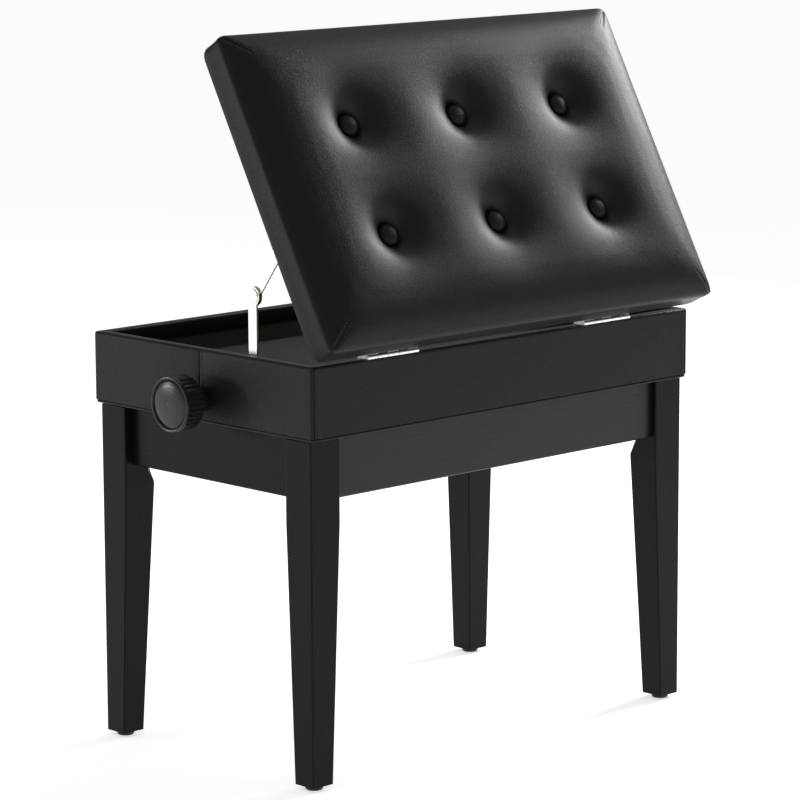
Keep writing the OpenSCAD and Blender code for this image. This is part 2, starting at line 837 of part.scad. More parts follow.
// One ring: a rectangle with round corners, counter-clockwise from above
function cushion_ring(z, out) = [for (q = [0 : 3], i = [0 : corner_steps])
    let (a = 90 * q + 90 * i / corner_steps,
        cx = (q == 0 || q == 3 ? 1 : -1) * (lid_x + out - cushion_corner),
        cy = (q < 2 ? 1 : -1) * (lid_y + out - cushion_corner))
    [cx + cushion_corner * cos(a), cy + cushion_corner * sin(a), lid_z + z]];

// The outside of the cushion, drawn in by the thickness of a skin
module cushion_form(skin) {
    levels = cushion_levels(skin);
    n = 4 * (corner_steps + 1);
    top = (len(levels) - 1) * n;
    polyhedron(
        points = [for (l = levels, p = cushion_ring(l[0], l[1])) p],
        faces = concat([[for (j = [0 : n - 1]) j]],
            [for (k = [0 : len(levels) - 2], j = [0 : n - 1], half = [0, 1])
                let (a = k * n + j, b = k * n + (j + 1) % n)
                half == 0 ? [a, a + n, b + n] : [a, b + n, b]],
            [[for (j = [n - 1 : -1 : 0]) top + j]]));
}

module seat_foam() {
    bx = lid_x - lid_board_inset;
    by = lid_y - lid_board_inset;
    color(FOAM) opened() difference() {
        cushion_form(lid_leather + 0.2);
        block([-bx, -by, lid_z - 1], [bx, by, lid_board_top]);
        block([-box_l, -box_l, lid_z - 1], [box_l, box_l, lid_board_z]);
        button_places() {
            translate([0, 0, button_z]) cylinder(r = button_well, h = lid_h);
            translate([0, 0, lid_z]) cylinder(r = tuft_r + 0.5, h = lid_h);
        }
    }
}

module cushion_cover() {
    color(LEATHER) opened() difference() {
        cushion_form(0);
        cushion_form(lid_leather);
        block([wrap_w - lid_x, wrap_w - lid_y, lid_z - 1],
            [lid_x - wrap_w, lid_y - wrap_w, lid_z + lid_leather + 1]);
        button_places() translate([0, 0, button_z]) cylinder(r = button_well, h = lid_h);
        stay_relief();
        lid_screw_bores();
    }
}

// Where the leather under the lid is cut away above the arms of the stay
module stay_relief() {
    ear_y = hinge_y + lid_dy;
    block([stay_low_x - 1.5, ear_y - 20, lid_z - 1],
        [wrap_w - lid_x + 1, ear_y + 20, lid_z + lid_leather + 1]);
}

module tufting_buttons() {
    color(LEATHER) opened() button_places() translate([0, 0, button_z]) {
        cylinder(r = button_r, h = button_t / 2);
        translate([0, 0, button_t / 2])
            cylinder(r1 = button_r, r2 = button_r * 0.6, h = button_t / 2);
        translate([0, 0, lid_board_z + 1.5 - button_z])
            cylinder(r = tuft_r, h = button_z - lid_board_z);
    }
}

module button_washers() {
    color(ZINC) opened() button_places() translate([0, 0, lid_board_z]) difference() {
        cylinder(r = washer_r, h = 1.4);
        translate([0, 0, -1]) cylinder(r = tuft_r + 0.3, h = 4);
    }
}

module dust_cover() {
    dx = lid_x - wrap_w - 0.2;
    dy = lid_y - wrap_w - 0.2;
    color(FELT) opened() difference() {
        block([-dx, -dy, lid_z + 0.1], [dx, dy, lid_z + 1]);
        stay_lid_screw_places() translate([0, 0, -1])
            cylinder(r = hinge_screw_r + 0.6, h = hinge_screw_l);
    }
}

// ---- Stay ----

module stay_wall_screw_places() {
    for (dy = SIDES)
        translate([stay_bracket_x + stay_bracket_t, foot_y + dy * 8, foot_z - 11])
            children();
}

module stay_wall_bracket() {
    color(NICKEL) difference() {
        union() {
            block([stay_bracket_x, foot_y - 12, foot_z - 16],
                [stay_bracket_x + stay_bracket_t, foot_y + 12, foot_z - 6]);
            block([stay_bracket_x, foot_y - 7, foot_z - 7],
                [stay_bracket_x + stay_bracket_t, foot_y + 7, foot_z]);
            translate([0, foot_y, foot_z])
                rod_x(7, stay_bracket_x, stay_bracket_x + stay_bracket_t);
            translate([0, foot_y, foot_z])
                rod_x(stay_pin_r, stay_bracket_x, stay_low_x + stay_t + 1);
            translate([0, foot_y, foot_z])
                rod_x(stay_pin_r + 2, stay_low_x + stay_t + face_gap, stay_low_x + stay_t + 1.5);
        }
        stay_wall_screw_places() mirror([1, 0, 0]) rotate([0, 90, 0]) sunk_hole();
    }
}

module stay_wall_screws() {
    color(NICKEL) stay_wall_screw_places() mirror([1, 0, 0]) rotate([0, 90, 0])
        sunk_screw(stay_screw_l);
}

module stay_lower_arm() {
    color(NICKEL) translate([0, foot_y, foot_z]) rotate([stay_lower_angle, 0, 0])
        stay_arm(stay_low_x, stay_lower_l, stay_w / 2 + 0.5, elbow_r,
            stay_pin_r + pin_gap, stay_pin_r + pin_gap);
}

module elbow_rivet() {
    far_x = stay_up_x + stay_t;
    color(NICKEL) translate([0, elbow_y, elbow_z]) {
        rod_x(stay_pin_r, stay_low_x - 1, far_x + face_gap + 1);
        rod_x(elbow_r - 2, stay_low_x - 1.2, stay_low_x);
        rod_x(stay_pin_r + 3, far_x + face_gap, far_x + face_gap + 1.2);
    }
}

module stay_upper_arm() {
    color(NICKEL) translate([0, elbow_y, elbow_z]) rotate([stay_upper_angle, 0, 0])
        stay_arm(stay_up_x, stay_upper_l, elbow_r, stay_w / 2 + 0.5,
            stay_pin_r + pin_gap, stay_pin_r + pin_gap);
}

module lid_pivot_rivet() {
    color(NICKEL) translate([0, lid_pivot_y, lid_pivot_z])
        rod_x(stay_pin_r, stay_up_x, stay_up_x + stay_t + 0.3);
}

module stay_lid_screw_places() {
    for (dy = SIDES)
        translate([lid_ear_x + 12, hinge_y + lid_dy + dy * 7, lid_z - leaf_t - 0.5])
            children();
}

module stay_lid_bracket() {
    ear_y = hinge_y + lid_dy;
    ear_z = hinge_z + lid_dz;
    color(NICKEL) opened() difference() {
        union() {
            block([lid_ear_x, ear_y - 12, lid_z - 2], [lid_ear_x + 19, ear_y + 12, lid_z]);
            block([lid_ear_x, ear_y - 7, ear_z], [lid_ear_x + 2, ear_y + 7, lid_z - 1]);
            translate([0, ear_y, ear_z]) rod_x(7, lid_ear_x, lid_ear_x + 2);
        }
        stay_lid_screw_places() sunk_hole();
    }
}

module stay_lid_screws() {
    color(NICKEL) opened() stay_lid_screw_places() sunk_screw(hinge_screw_l);
}

// ---- Crossed arms, nut and screw ----

module lift_outer_arms() {
    color(ZINC) for (sy = SIDES) mirror([0, sy < 0 ? 1 : 0, 0])
        translate([pivot_x, 0, low_z]) lift_arm(arm_angle, outer_y, pin_r + pin_gap);
}

module lift_inner_arms() {
    color(ZINC) for (sy = SIDES) mirror([0, sy < 0 ? 1 : 0, 0])
        translate([pivot_x, 0, screw_z]) lift_arm(-arm_angle, inner_y, pin_r + open_play);
}

module centre_pins() {
    color(ZINC) translate([pivot_x + end_low / 2, 0, low_z + arm_rise / 2])
        for (sy = SIDES) mirror([0, sy < 0 ? 1 : 0, 0]) {
            rod_y(pin_r, inner_y - face_gap - head_t, rail_y - face_gap);
            rod_y(pin_head_r + 1, inner_y - face_gap - head_t, inner_y - face_gap);
            rod_y(pin_head_r, outer_y + arm_t, rail_y - face_gap);
        }
}

// A bar that slides in two rails, with thin ends and a washer outside each rail
module sliding_bar(shoulder) {
    rod_y(pin_head_r, -shoulder, shoulder);
    rod_y(pin_r, -rail_out_y - 0.5 - head_t, rail_out_y + 0.5 + head_t);
    for (sy = SIDES) mirror([0, sy < 0 ? 1 : 0, 0])
        rod_y(pin_head_r + 1.5, rail_out_y + 0.5, rail_out_y + 0.5 + head_t);
}

module slide_bar() {
    color(ZINC) translate([pivot_x + end_low, 0, low_z]) sliding_bar(inner_y);
}

module nut_bar() {
    color(ZINC) translate([pivot_x + end_low, 0, screw_z]) difference() {
        union() {
            sliding_bar(outer_y - face_gap);
            cube(nut_block, center = true);
        }
        rod_x(screw_r + open_play, -nut_block[0], nut_block[0]);
    }
}

module lead_screw() {
    color(ZINC) translate([0, 0, screw_z]) {
        rod_x(screw_r, -thread_end, thread_end);
        rod_x(shaft_r, -knob_x + 8, knob_x - 8);
    }
}

module shaft_collars() {
    color(ZINC) for (sx = SIDES) mirror([sx < 0 ? 1 : 0, 0, 0])
        translate([0, 0, screw_z]) difference() {
            rod_x(collar_r, collar_x - collar_l, collar_x);
            rod_x(shaft_r + pin_gap, collar_x - collar_l - 1, collar_x + 1);
        }
}

// The ribbed outline of a knob
function knob_outline(r) = [for (i = [0 : 2 * knob_ribs - 1])
    let (a = i * 180 / knob_ribs, d = i % 2 == 0 ? r : r - rib_h) [d * cos(a), d * sin(a)]];

// The front of a knob: a raised round rim, and a dome in the dish inside it
module knob_front() {
    rim_w = knob_rim * 0.42;
    rim_top = -1;
    dome_r = knob_r - 2 * rim_w - 0.8;
    dish = rim_top - 2;
    dome = [for (i = [0 : 8]) let (a = 90 * i / 8)
        [dome_r * sin(a), dish - dish * cos(a)]];
    rim = [for (i = [0 : 8]) let (a = 180 - 180 * i / 8)
        [knob_r - rim_w + rim_w * cos(a), rim_top - rim_w + rim_w * sin(a)]];
    rotate([0, 90, 0]) rotate_extrude()
        polygon(concat([[0, -knob_rim - 1]], dome, [[dome_r + 0.4, dish - 0.3]], rim,
            [[knob_r, -knob_rim - 1]]));
}

module knob() {
    color(PLASTIC) translate([0, 0, screw_z]) difference() {
        union() {
            rod_x(hub_r, hub_x, skirt_x0 + 1);
            translate([skirt_x0, 0, 0]) rotate([0, 90, 0])
                linear_extrude(knob_skirt) polygon(knob_outline(knob_r - 0.5));
            translate([knob_x, 0, 0]) knob_front();
        }
        rod_x(shaft_r + pin_gap, hub_x - 1, knob_x - 7.5);
    }
}

module knob_left() { mirror([1, 0, 0]) knob(); }
module knob_right() { knob(); }

leg_back_left();
leg_back_right();
leg_front_left();
leg_front_right();
apron_back();
apron_front();
apron_left();
apron_right();
glides();
corner_brackets();
hanger_bolts();
hanger_nuts();
bracket_screws();
lower_rail_back();
lower_rail_front();
lower_pivot_bar();
lower_rail_screws();
box_wall_back();
box_wall_front();
box_wall_left();
box_wall_right();
box_cover();
bottom_edging();
storage_floor();
floor_felt();
corner_blocks();
upper_rail_back();
upper_rail_front();
upper_pivot_pins();
upper_rail_screws();
knob_bushes();
box_hinge_leaves();
hinge_pins();
box_hinge_screws();
stay_wall_bracket();
stay_wall_screws();
lid_board();
seat_foam();
cushion_cover();
tufting_buttons();
button_washers();
dust_cover();
lid_hinge_leaves();
lid_hinge_screws();
stay_lid_bracket();
stay_lid_screws();
stay_lower_arm();
elbow_rivet();
stay_upper_arm();
lid_pivot_rivet();
lift_outer_arms();
centre_pins();
lift_inner_arms();
slide_bar();
nut_bar();
lead_screw();
shaft_collars();
knob_left();
knob_right();
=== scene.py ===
"""Piano bench: the looks of the bench, built as an add-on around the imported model."""

import json
import math

import bmesh
import bpy
import numpy as np
from mathutils import Matrix, Vector


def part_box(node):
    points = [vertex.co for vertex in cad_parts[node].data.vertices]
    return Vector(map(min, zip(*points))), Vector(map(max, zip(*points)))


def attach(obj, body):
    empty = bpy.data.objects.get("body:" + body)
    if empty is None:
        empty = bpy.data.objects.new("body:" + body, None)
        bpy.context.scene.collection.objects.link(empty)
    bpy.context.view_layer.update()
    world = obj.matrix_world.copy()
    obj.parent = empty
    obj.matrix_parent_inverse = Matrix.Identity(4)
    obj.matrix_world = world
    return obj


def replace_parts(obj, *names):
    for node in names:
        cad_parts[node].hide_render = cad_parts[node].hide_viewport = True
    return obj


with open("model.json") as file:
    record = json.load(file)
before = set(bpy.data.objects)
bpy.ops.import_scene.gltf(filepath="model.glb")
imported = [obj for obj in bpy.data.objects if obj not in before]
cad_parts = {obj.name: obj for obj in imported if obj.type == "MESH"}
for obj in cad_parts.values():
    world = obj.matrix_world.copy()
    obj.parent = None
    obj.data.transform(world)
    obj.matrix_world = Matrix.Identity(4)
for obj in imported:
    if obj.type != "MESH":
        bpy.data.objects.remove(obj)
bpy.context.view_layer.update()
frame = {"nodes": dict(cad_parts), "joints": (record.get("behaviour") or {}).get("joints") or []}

bl_info = {
    "name": "Piano Bench",
    "version": (1, 0, 0),
    "blender": (4, 5, 0),
    "location": "3D View > Sidebar > Bench",
    "description": "Leather, stitching, fittings and finishes of an adjustable piano bench",
    "category": "Object",
}

MM = 0.001
JOINTS = {j["name"]: j for j in frame["joints"]}
HINGE = Vector(JOINTS["lid_hinge"]["pos_m"])
OPEN_ANGLE = -math.radians(JOINTS["lid_hinge"]["range_deg"][0])
# Takes a point of the closed lid to where it is with the lid open
OPENED = (
    Matrix.Translation(HINGE) @ Matrix.Rotation(OPEN_ANGLE, 4, "X") @ Matrix.Translation(-HINGE)
)
BOX_LOW, BOX_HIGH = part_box("box_cover")
HALF_X = BOX_HIGH.x
HALF_Y = BOX_HIGH.y
LID_Z = HINGE.z + 2 * MM


# ---------------------------------------------------------------- Sizes and colours


class BenchLeather(bpy.types.PropertyGroup):
    """Sizes and colours of the leather work"""

    colour: bpy.props.FloatVectorProperty(
        name="Leather", description="Colour of the leather", subtype="COLOR",
        size=3, min=0, max=1, default=(0.0075, 0.0075, 0.0080))
    grain: bpy.props.FloatProperty(
        name="Grain", description="Size of one pebble of the grain",
        default=1.1 * MM, min=0.4 * MM, max=4 * MM, unit="LENGTH", precision=4)
    crown: bpy.props.FloatProperty(
        name="Crown", description="Height of the middle of the cushion",
        default=51 * MM, min=40 * MM, max=60 * MM, unit="LENGTH")
    well_depth: bpy.props.FloatProperty(
        name="Well depth", description="How far a button pulls the leather down",
        default=19 * MM, min=0, max=30 * MM, unit="LENGTH")
    well_spread: bpy.props.FloatProperty(
        name="Well spread", description="How far from a button its pull fades",
        default=18.5 * MM, min=5 * MM, max=50 * MM, unit="LENGTH")
    swell: bpy.props.FloatProperty(
        name="Swell", description="Most that the stuffing may push the leather out",
        default=5 * MM, min=0, max=12 * MM, unit="LENGTH")
    button: bpy.props.FloatProperty(
        name="Button", description="Radius of a covered button",
        default=11.7 * MM, min=6 * MM, max=18 * MM, unit="LENGTH")
    rim: bpy.props.FloatProperty(
        name="Rim", description="Radius of the leather over the rim of the box",
        default=3.2 * MM, min=2.6 * MM, max=5 * MM, unit="LENGTH")
    stitch_pitch: bpy.props.FloatProperty(
        name="Stitch pitch", description="Distance from stitch to stitch",
        default=3.6 * MM, min=2 * MM, max=8 * MM, unit="LENGTH", precision=4)
    stitch_length: bpy.props.FloatProperty(
        name="Stitch length", description="Length of one stitch",
        default=2.6 * MM, min=1 * MM, max=6 * MM, unit="LENGTH", precision=4)
    thread: bpy.props.FloatProperty(
        name="Thread", description="Thickness of the sewing thread",
        default=0.7 * MM, min=0.3 * MM, max=1.5 * MM, unit="LENGTH", precision=4)


class BenchFinish(bpy.types.PropertyGroup):
    """Colours of the frame and the fittings"""

    paint: bpy.props.FloatVectorProperty(
        name="Paint", description="Colour of the legs and aprons", subtype="COLOR",
        size=3, min=0, max=1, default=(0.0048, 0.0038, 0.0037))
    paint_roughness: bpy.props.FloatProperty(
        name="Paint roughness", description="Roughness of the painted wood",
        default=0.34, min=0.05, max=1)
    stain: bpy.props.FloatVectorProperty(
        name="Stain", description="Colour of the boards inside the box", subtype="COLOR",
        size=3, min=0, max=1, default=(0.011, 0.007, 0.005))
    nickel: bpy.props.FloatVectorProperty(
        name="Nickel", description="Colour of the hinges and the stay", subtype="COLOR",
        size=3, min=0, max=1, default=(0.86, 0.84, 0.80))
    zinc: bpy.props.FloatVectorProperty(
        name="Zinc", description="Colour of the lift and the brackets", subtype="COLOR",
        size=3, min=0, max=1, default=(0.56, 0.57, 0.59))
    plastic: bpy.props.FloatVectorProperty(
        name="Plastic", description="Colour of the knobs and glides", subtype="COLOR",
        size=3, min=0, max=1, default=(0.012, 0.012, 0.012))


# ---------------------------------------------------------------- Materials


class Value:
    """A shader socket that can be used in arithmetic"""

    def __init__(self, shader, socket):
        self.shader = shader
        self.socket = socket

    def _maths(self, operation, first, second=None):
        return self.shader.node("ShaderNodeMath", {"operation": operation},
                                *[v for v in (first, second) if v is not None])

    def __add__(self, other):
        return self._maths("ADD", self, other)

    def __radd__(self, other):
        return self._maths("ADD", other, self)

    def __sub__(self, other):
        return self._maths("SUBTRACT", self, other)

    def __rsub__(self, other):
        return self._maths("SUBTRACT", other, self)

    def __mul__(self, other):
        return self._maths("MULTIPLY", self, other)

    def __rmul__(self, other):
        return self._maths("MULTIPLY", other, self)

    def __truediv__(self, other):
        return self._maths("DIVIDE", self, other)

    def __pow__(self, other):
        return self._maths("POWER", self, other)

    def clamp(self):
        return self._maths("MINIMUM", self._maths("MAXIMUM", self, 0.0), 1.0)


class Shader:
    """One material with a Principled BSDF, built from plain calls"""

    def __init__(self, name):
        self.material = bpy.data.materials.new(name)
        self.material.use_nodes = True
        self.tree = self.material.node_tree
        self.bsdf = self.tree.nodes["Principled BSDF"]

    def node(self, kind, settings=None, *values, output=0, **named):
        made = self.tree.nodes.new(kind)
        for key, value in (settings or {}).items():
            if key == "stops":
                ramp = made.color_ramp
                while len(ramp.elements) < len(value):
                    ramp.elements.new(0.5)
                for element, (place, shade) in zip(ramp.elements, value):
                    element.position = place
                    element.color = (*shade, 1) if isinstance(shade, tuple) else (shade,) * 3 + (1,)
            else:
                setattr(made, key, value)
        for key, value in [*enumerate(values), *named.items()]:
            self.plug(made.inputs[key if isinstance(key, int) else key.replace("_", " ")], value)
        return Value(self, made.outputs[output])

    def plug(self, socket, value):
        if isinstance(value, Value):
            self.tree.links.new(value.socket, socket)
        else:
            socket.default_value = value

    def place(self, scale=(1, 1, 1), turn=(0, 0, 0)):
        coords = self.node("ShaderNodeTexCoord", output="Object")
        return self.node("ShaderNodeMapping", None, Vector=coords, Scale=scale, Rotation=turn)

    def noise(self, place, scale, detail=2.0, rough=0.5, bend=0.0):
        return self.node("ShaderNodeTexNoise", None, Vector=place, Scale=scale,
                         Detail=detail, Roughness=rough, Distortion=bend)

    def pebbles(self, place, scale, feature="SMOOTH_F1"):
        return self.node("ShaderNodeTexVoronoi", {"feature": feature}, Vector=place, Scale=scale)

    def ramp(self, value, *stops):
        return self.node("ShaderNodeValToRGB", {"stops": stops}, value)

    def spread(self, value, low, high):
        return self.node("ShaderNodeMapRange", None, value, 0.0, 1.0, low, high)

    def blend(self, factor, first, second):
        mixed = self.tree.nodes.new("ShaderNodeMix")
        mixed.data_type = "RGBA"
        self.plug(mixed.inputs[0], factor)
        for index, colour in ((6, first), (7, second)):
            self.plug(mixed.inputs[index], (*colour, 1) if isinstance(colour, tuple) else colour)
        return Value(self, mixed.outputs[2])

    def bump(self, height, depth, below=None):
        named = {"Height": height, "Distance": depth, "Strength": 1.0}
        if below is not None:
            named["Normal"] = below
        return self.node("ShaderNodeBump", None, **named)

    def finish(self, **values):
        for key, value in values.items():
            if isinstance(value, tuple) and len(value) == 3:
                value = (*value, 1)
            self.plug(self.bsdf.inputs[key.replace("_", " ")], value)
        return self.material


def shade(colour, factor):
    return tuple(min(1.0, c * factor) for c in colour)


def leather_material(name, relief=1.0):
    look = bpy.context.scene.bench_leather
    colour = tuple(look.colour)
    s = Shader(name)
    place = s.place()
    grain = s.pebbles(place, 1 / look.grain)
    fine = s.noise(place, 2.3 / look.grain, 3.0, 0.6)
    broad = s.noise(place, 22.0, 3.0, 0.55)
    creases = s.noise(s.place((1, 1, 1.6)), 150.0, 5.0, 0.62, 0.8)
    fold = s.ramp(creases, (0.42, 0.0), (0.5, 1.0), (0.58, 0.0))
    tops = s.ramp(grain, (0.05, 1.0), (0.55, 0.0))
    height = tops * 0.75 + fine * 0.35 + fold * -0.16
    normal = s.bump(height, 0.00016 * relief)
    return s.finish(
        Base_Color=s.blend((tops * 0.55 + broad * 0.45).clamp(), shade(colour, 0.62), shade(colour, 1.5)),
        Roughness=s.spread((broad * 0.6 + (1 - tops) * 0.5).clamp(), 0.30, 0.46),
        Normal=normal,
        Specular_IOR_Level=0.17,
    )


# lift scales the paint's base colour; above 1 it is painted sheen, a lighter copy of the paint for a side
# that catches more light
def paint_material(name, stretch, lift=1.0, gloss=0.11):
    look = bpy.context.scene.bench_finish
    # Base colour times lift: painted sheen wherever lift is above 1
    colour = shade(look.paint, lift)
    s = Shader(name)
    grain = s.noise(s.place(stretch), 90.0, 4.0, 0.6, 0.3)
    mist = s.noise(s.place(), 700.0, 2.0, 0.5)
    broad = s.noise(s.place(), 9.0, 2.0, 0.5)
    pores = s.ramp(grain, (0.36, 0.0), (0.5, 1.0))
    normal = s.bump(pores * 0.6 + mist * 0.35, 0.00007)
    return s.finish(
        Base_Color=s.blend((pores * 0.5 + broad * 0.5).clamp(), shade(colour, 0.8), shade(colour, 1.3)),
        Roughness=s.spread((mist * 0.5 + broad * 0.5).clamp(),
                           look.paint_roughness - 0.05, look.paint_roughness + 0.08),
        Normal=normal,
        Specular_IOR_Level=gloss,
    )


def wood_material(name, colour, stretch, gloss=0.55):
    s = Shader(name)
    rings = s.noise(s.place(stretch), 34.0, 5.0, 0.62, 1.6)
    fibres = s.noise(s.place(tuple(5 * v for v in stretch)), 110.0, 2.0, 0.6)
    bands = s.ramp(rings, (0.34, 0.0), (0.48, 0.65), (0.56, 0.4), (0.66, 1.0))
    return s.finish(
        Base_Color=s.blend((bands * 0.7 + fibres * 0.3).clamp(), shade(colour, 0.62), shade(colour, 1.25)),
        Roughness=s.spread(fibres, gloss - 0.08, gloss + 0.12),
        Normal=s.bump(bands * 0.4 + fibres * 0.6, 0.00012),
    )


def felt_material(name, colour):
    s = Shader(name)
    hairs = s.noise(s.place((1, 1, 1)), 1500.0, 5.0, 0.7, 1.2)
    tufts = s.noise(s.place(), 130.0, 3.0, 0.6)
    return s.finish(
        Base_Color=s.blend((hairs * 0.6 + tufts * 0.4).clamp(), shade(colour, 0.55), shade(colour, 1.6)),
        Roughness=s.spread(hairs, 0.85, 1.0),
        Normal=s.bump(hairs + tufts * 0.6, 0.0005),
    )


def metal_material(name, colour, roughness, scratch, tarnish):
    s = Shader(name)
    brush = s.noise(s.place((1, 14, 14)), 260.0, 3.0, 0.6)
    cloud = s.noise(s.place(), 60.0, 3.0, 0.6)
    return s.finish(
        Base_Color=s.blend(cloud, shade(colour, 1 - tarnish), colour),
        Metallic=1.0,
        Roughness=s.spread((brush * 0.5 + cloud * 0.5).clamp(), roughness - 0.06, roughness + 0.08),
        Normal=s.bump(brush, scratch),
    )


def plastic_material(name, roughness):
    colour = tuple(bpy.context.scene.bench_finish.plastic)
    s = Shader(name)
    spark = s.noise(s.place(), 2200.0, 2.0, 0.5)
    cloud = s.noise(s.place(), 45.0, 2.0, 0.5)
    return s.finish(
        Base_Color=s.blend(cloud, shade(colour, 0.8), shade(colour, 1.3)),
        Roughness=s.spread((spark * 0.5 + cloud * 0.5).clamp(), roughness - 0.05, roughness + 0.08),
        Specular_IOR_Level=0.35,
        Normal=s.bump(spark, 0.00004),
    )


def thread_material(name):
    s = Shader(name)
    twist = s.noise(s.place(), 2600.0, 2.0, 0.5)
    return s.finish(
        Base_Color=s.blend(twist, (0.006, 0.006, 0.006), (0.022, 0.021, 0.021)),
        Roughness=s.spread(twist, 0.5, 0.7),
        Normal=s.bump(twist, 0.0002),
    )


MAKERS = {
    "leather": lambda n: leather_material(n),
    "cushion_leather": lambda n: leather_material(n),
    "paint_upright": lambda n: paint_material(n, (7, 7, 0.5)),
    # Long aprons: grain along X, base colour lifted 1.5 times as painted sheen of the light on that side,
    # and a higher specular level
    "paint_long": lambda n: paint_material(n, (0.5, 7, 7), 1.5, 0.3),
    "paint_short": lambda n: paint_material(n, (7, 0.5, 7)),
    "stained_long": lambda n: wood_material(
        n, tuple(bpy.context.scene.bench_finish.stain), (0.4, 4, 4), 0.5),
    "stained_short": lambda n: wood_material(
        n, tuple(bpy.context.scene.bench_finish.stain), (4, 0.4, 4), 0.5),
    "plywood": lambda n: wood_material(n, (0.36, 0.23, 0.13), (0.5, 4, 4)),
    "felt": lambda n: felt_material(n, (0.0055, 0.0040, 0.0033)),
    "nickel": lambda n: metal_material(
        n, tuple(bpy.context.scene.bench_finish.nickel), 0.24, 0.00003, 0.06),
    "zinc": lambda n: metal_material(
        n, tuple(bpy.context.scene.bench_finish.zinc), 0.38, 0.00006, 0.22),
    "black_plastic": lambda n: plastic_material(n, 0.2),
    "thread": thread_material,
}


MADE = {}


def material(name):
    if name not in MADE:
        MADE[name] = MAKERS[name]("finish_" + name)
    return MADE[name]


# ---------------------------------------------------------------- Meshes


def new_object(name, mesh, finish, body):
    piece = bpy.data.objects.new(name, mesh)
    bpy.context.scene.collection.objects.link(piece)
    mesh.materials.clear()
    mesh.materials.append(material(finish))
    mesh.polygons.foreach_set("material_index", [0] * len(mesh.polygons))
    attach(piece, body)
    return piece


def plain_mesh(name, piece):
    """The evaluated mesh of an object, as a mesh of its own"""
    bpy.context.view_layer.update()
    graph = bpy.context.evaluated_depsgraph_get()
    mesh = bpy.data.meshes.new_from_object(piece.evaluated_get(graph))
    mesh.name = name
    return mesh


def scratch_object(name, mesh):
    piece = bpy.data.objects.new(name, mesh)
    bpy.context.scene.collection.objects.link(piece)
    return piece


def smooth(mesh, degrees=35):
    mesh.polygons.foreach_set("use_smooth", [True] * len(mesh.polygons))
    mesh.set_sharp_from_angle(angle=math.radians(degrees))


def ring_points(half_x, half_y, radius, z, steps=6):
    """A rectangle with round corners, counter-clockwise from above"""
    points = []
    for quarter in range(4):
        cx = (half_x - radius) * (1 if quarter in (0, 3) else -1)
        cy = (half_y - radius) * (1 if quarter < 2 else -1)
        for i in range(steps + 1):
            a = math.pi / 2 * (quarter + i / steps)
            points.append((cx + radius * math.cos(a), cy + radius * math.sin(a), z))
    return points


def loft(name, rings, closed=False):
    """A mesh through rings of equal length, capped unless the last meets the first"""
    n = len(rings[0])
    faces = []
    count = len(rings) if closed else len(rings) - 1
    for k in range(count):
        a, b = k * n, ((k + 1) % len(rings)) * n
        faces += [(a + j, a + (j + 1) % n, b + (j + 1) % n, b + j) for j in range(n)]
    if not closed:
        faces += [tuple(range(n))[::-1], tuple((len(rings) - 1) * n + j for j in range(n))]
    mesh = bpy.data.meshes.new(name)
    mesh.from_pydata([p for ring in rings for p in ring], [], faces)
    outward(mesh)
    return mesh


def outward(mesh):
    work = bmesh.new()
    work.from_mesh(mesh)
    bmesh.ops.remove_doubles(work, verts=work.verts, dist=1e-6)
    bmesh.ops.recalc_face_normals(work, faces=work.faces)
    work.to_mesh(mesh)
    work.free()


def spun(name, profile, steps=32):
    """A profile of (radius, height) turned about Z, closed on the axis"""
    rings = [[(r * math.cos(a), r * math.sin(a), h)
              for a in (2 * math.pi * i / steps for i in range(steps))] for r, h in profile]
    return loft(name, rings)


def read_points(mesh):
    flat = np.empty(len(mesh.vertices) * 3)
    mesh.vertices.foreach_get("co", flat)
    return flat.reshape(-1, 3)


def write_points(mesh, points):
    mesh.vertices.foreach_set("co", np.ascontiguousarray(points).ravel())
    mesh.update()


def solids(node, undo=Matrix.Identity(4)):
    """The points of each separate solid of a CAD node"""
    work = bmesh.new()
    work.from_mesh(frame["nodes"][node].data)
    bmesh.ops.remove_doubles(work, verts=work.verts, dist=1e-6)
    left = set(work.verts)
    found = []
    while left:
        stack = [left.pop()]
        group = []
        while stack:
            vertex = stack.pop()
            group.append(undo @ vertex.co)
            for edge in vertex.link_edges:
                other = edge.other_vert(vertex)
                if other in left:
                    left.remove(other)
                    stack.append(other)
        found.append(np.array(group))
    work.free()
    return sorted(found, key=lambda g: tuple(np.round(g.mean(0), 4)))


# ---------------------------------------------------------------- Geometry Nodes


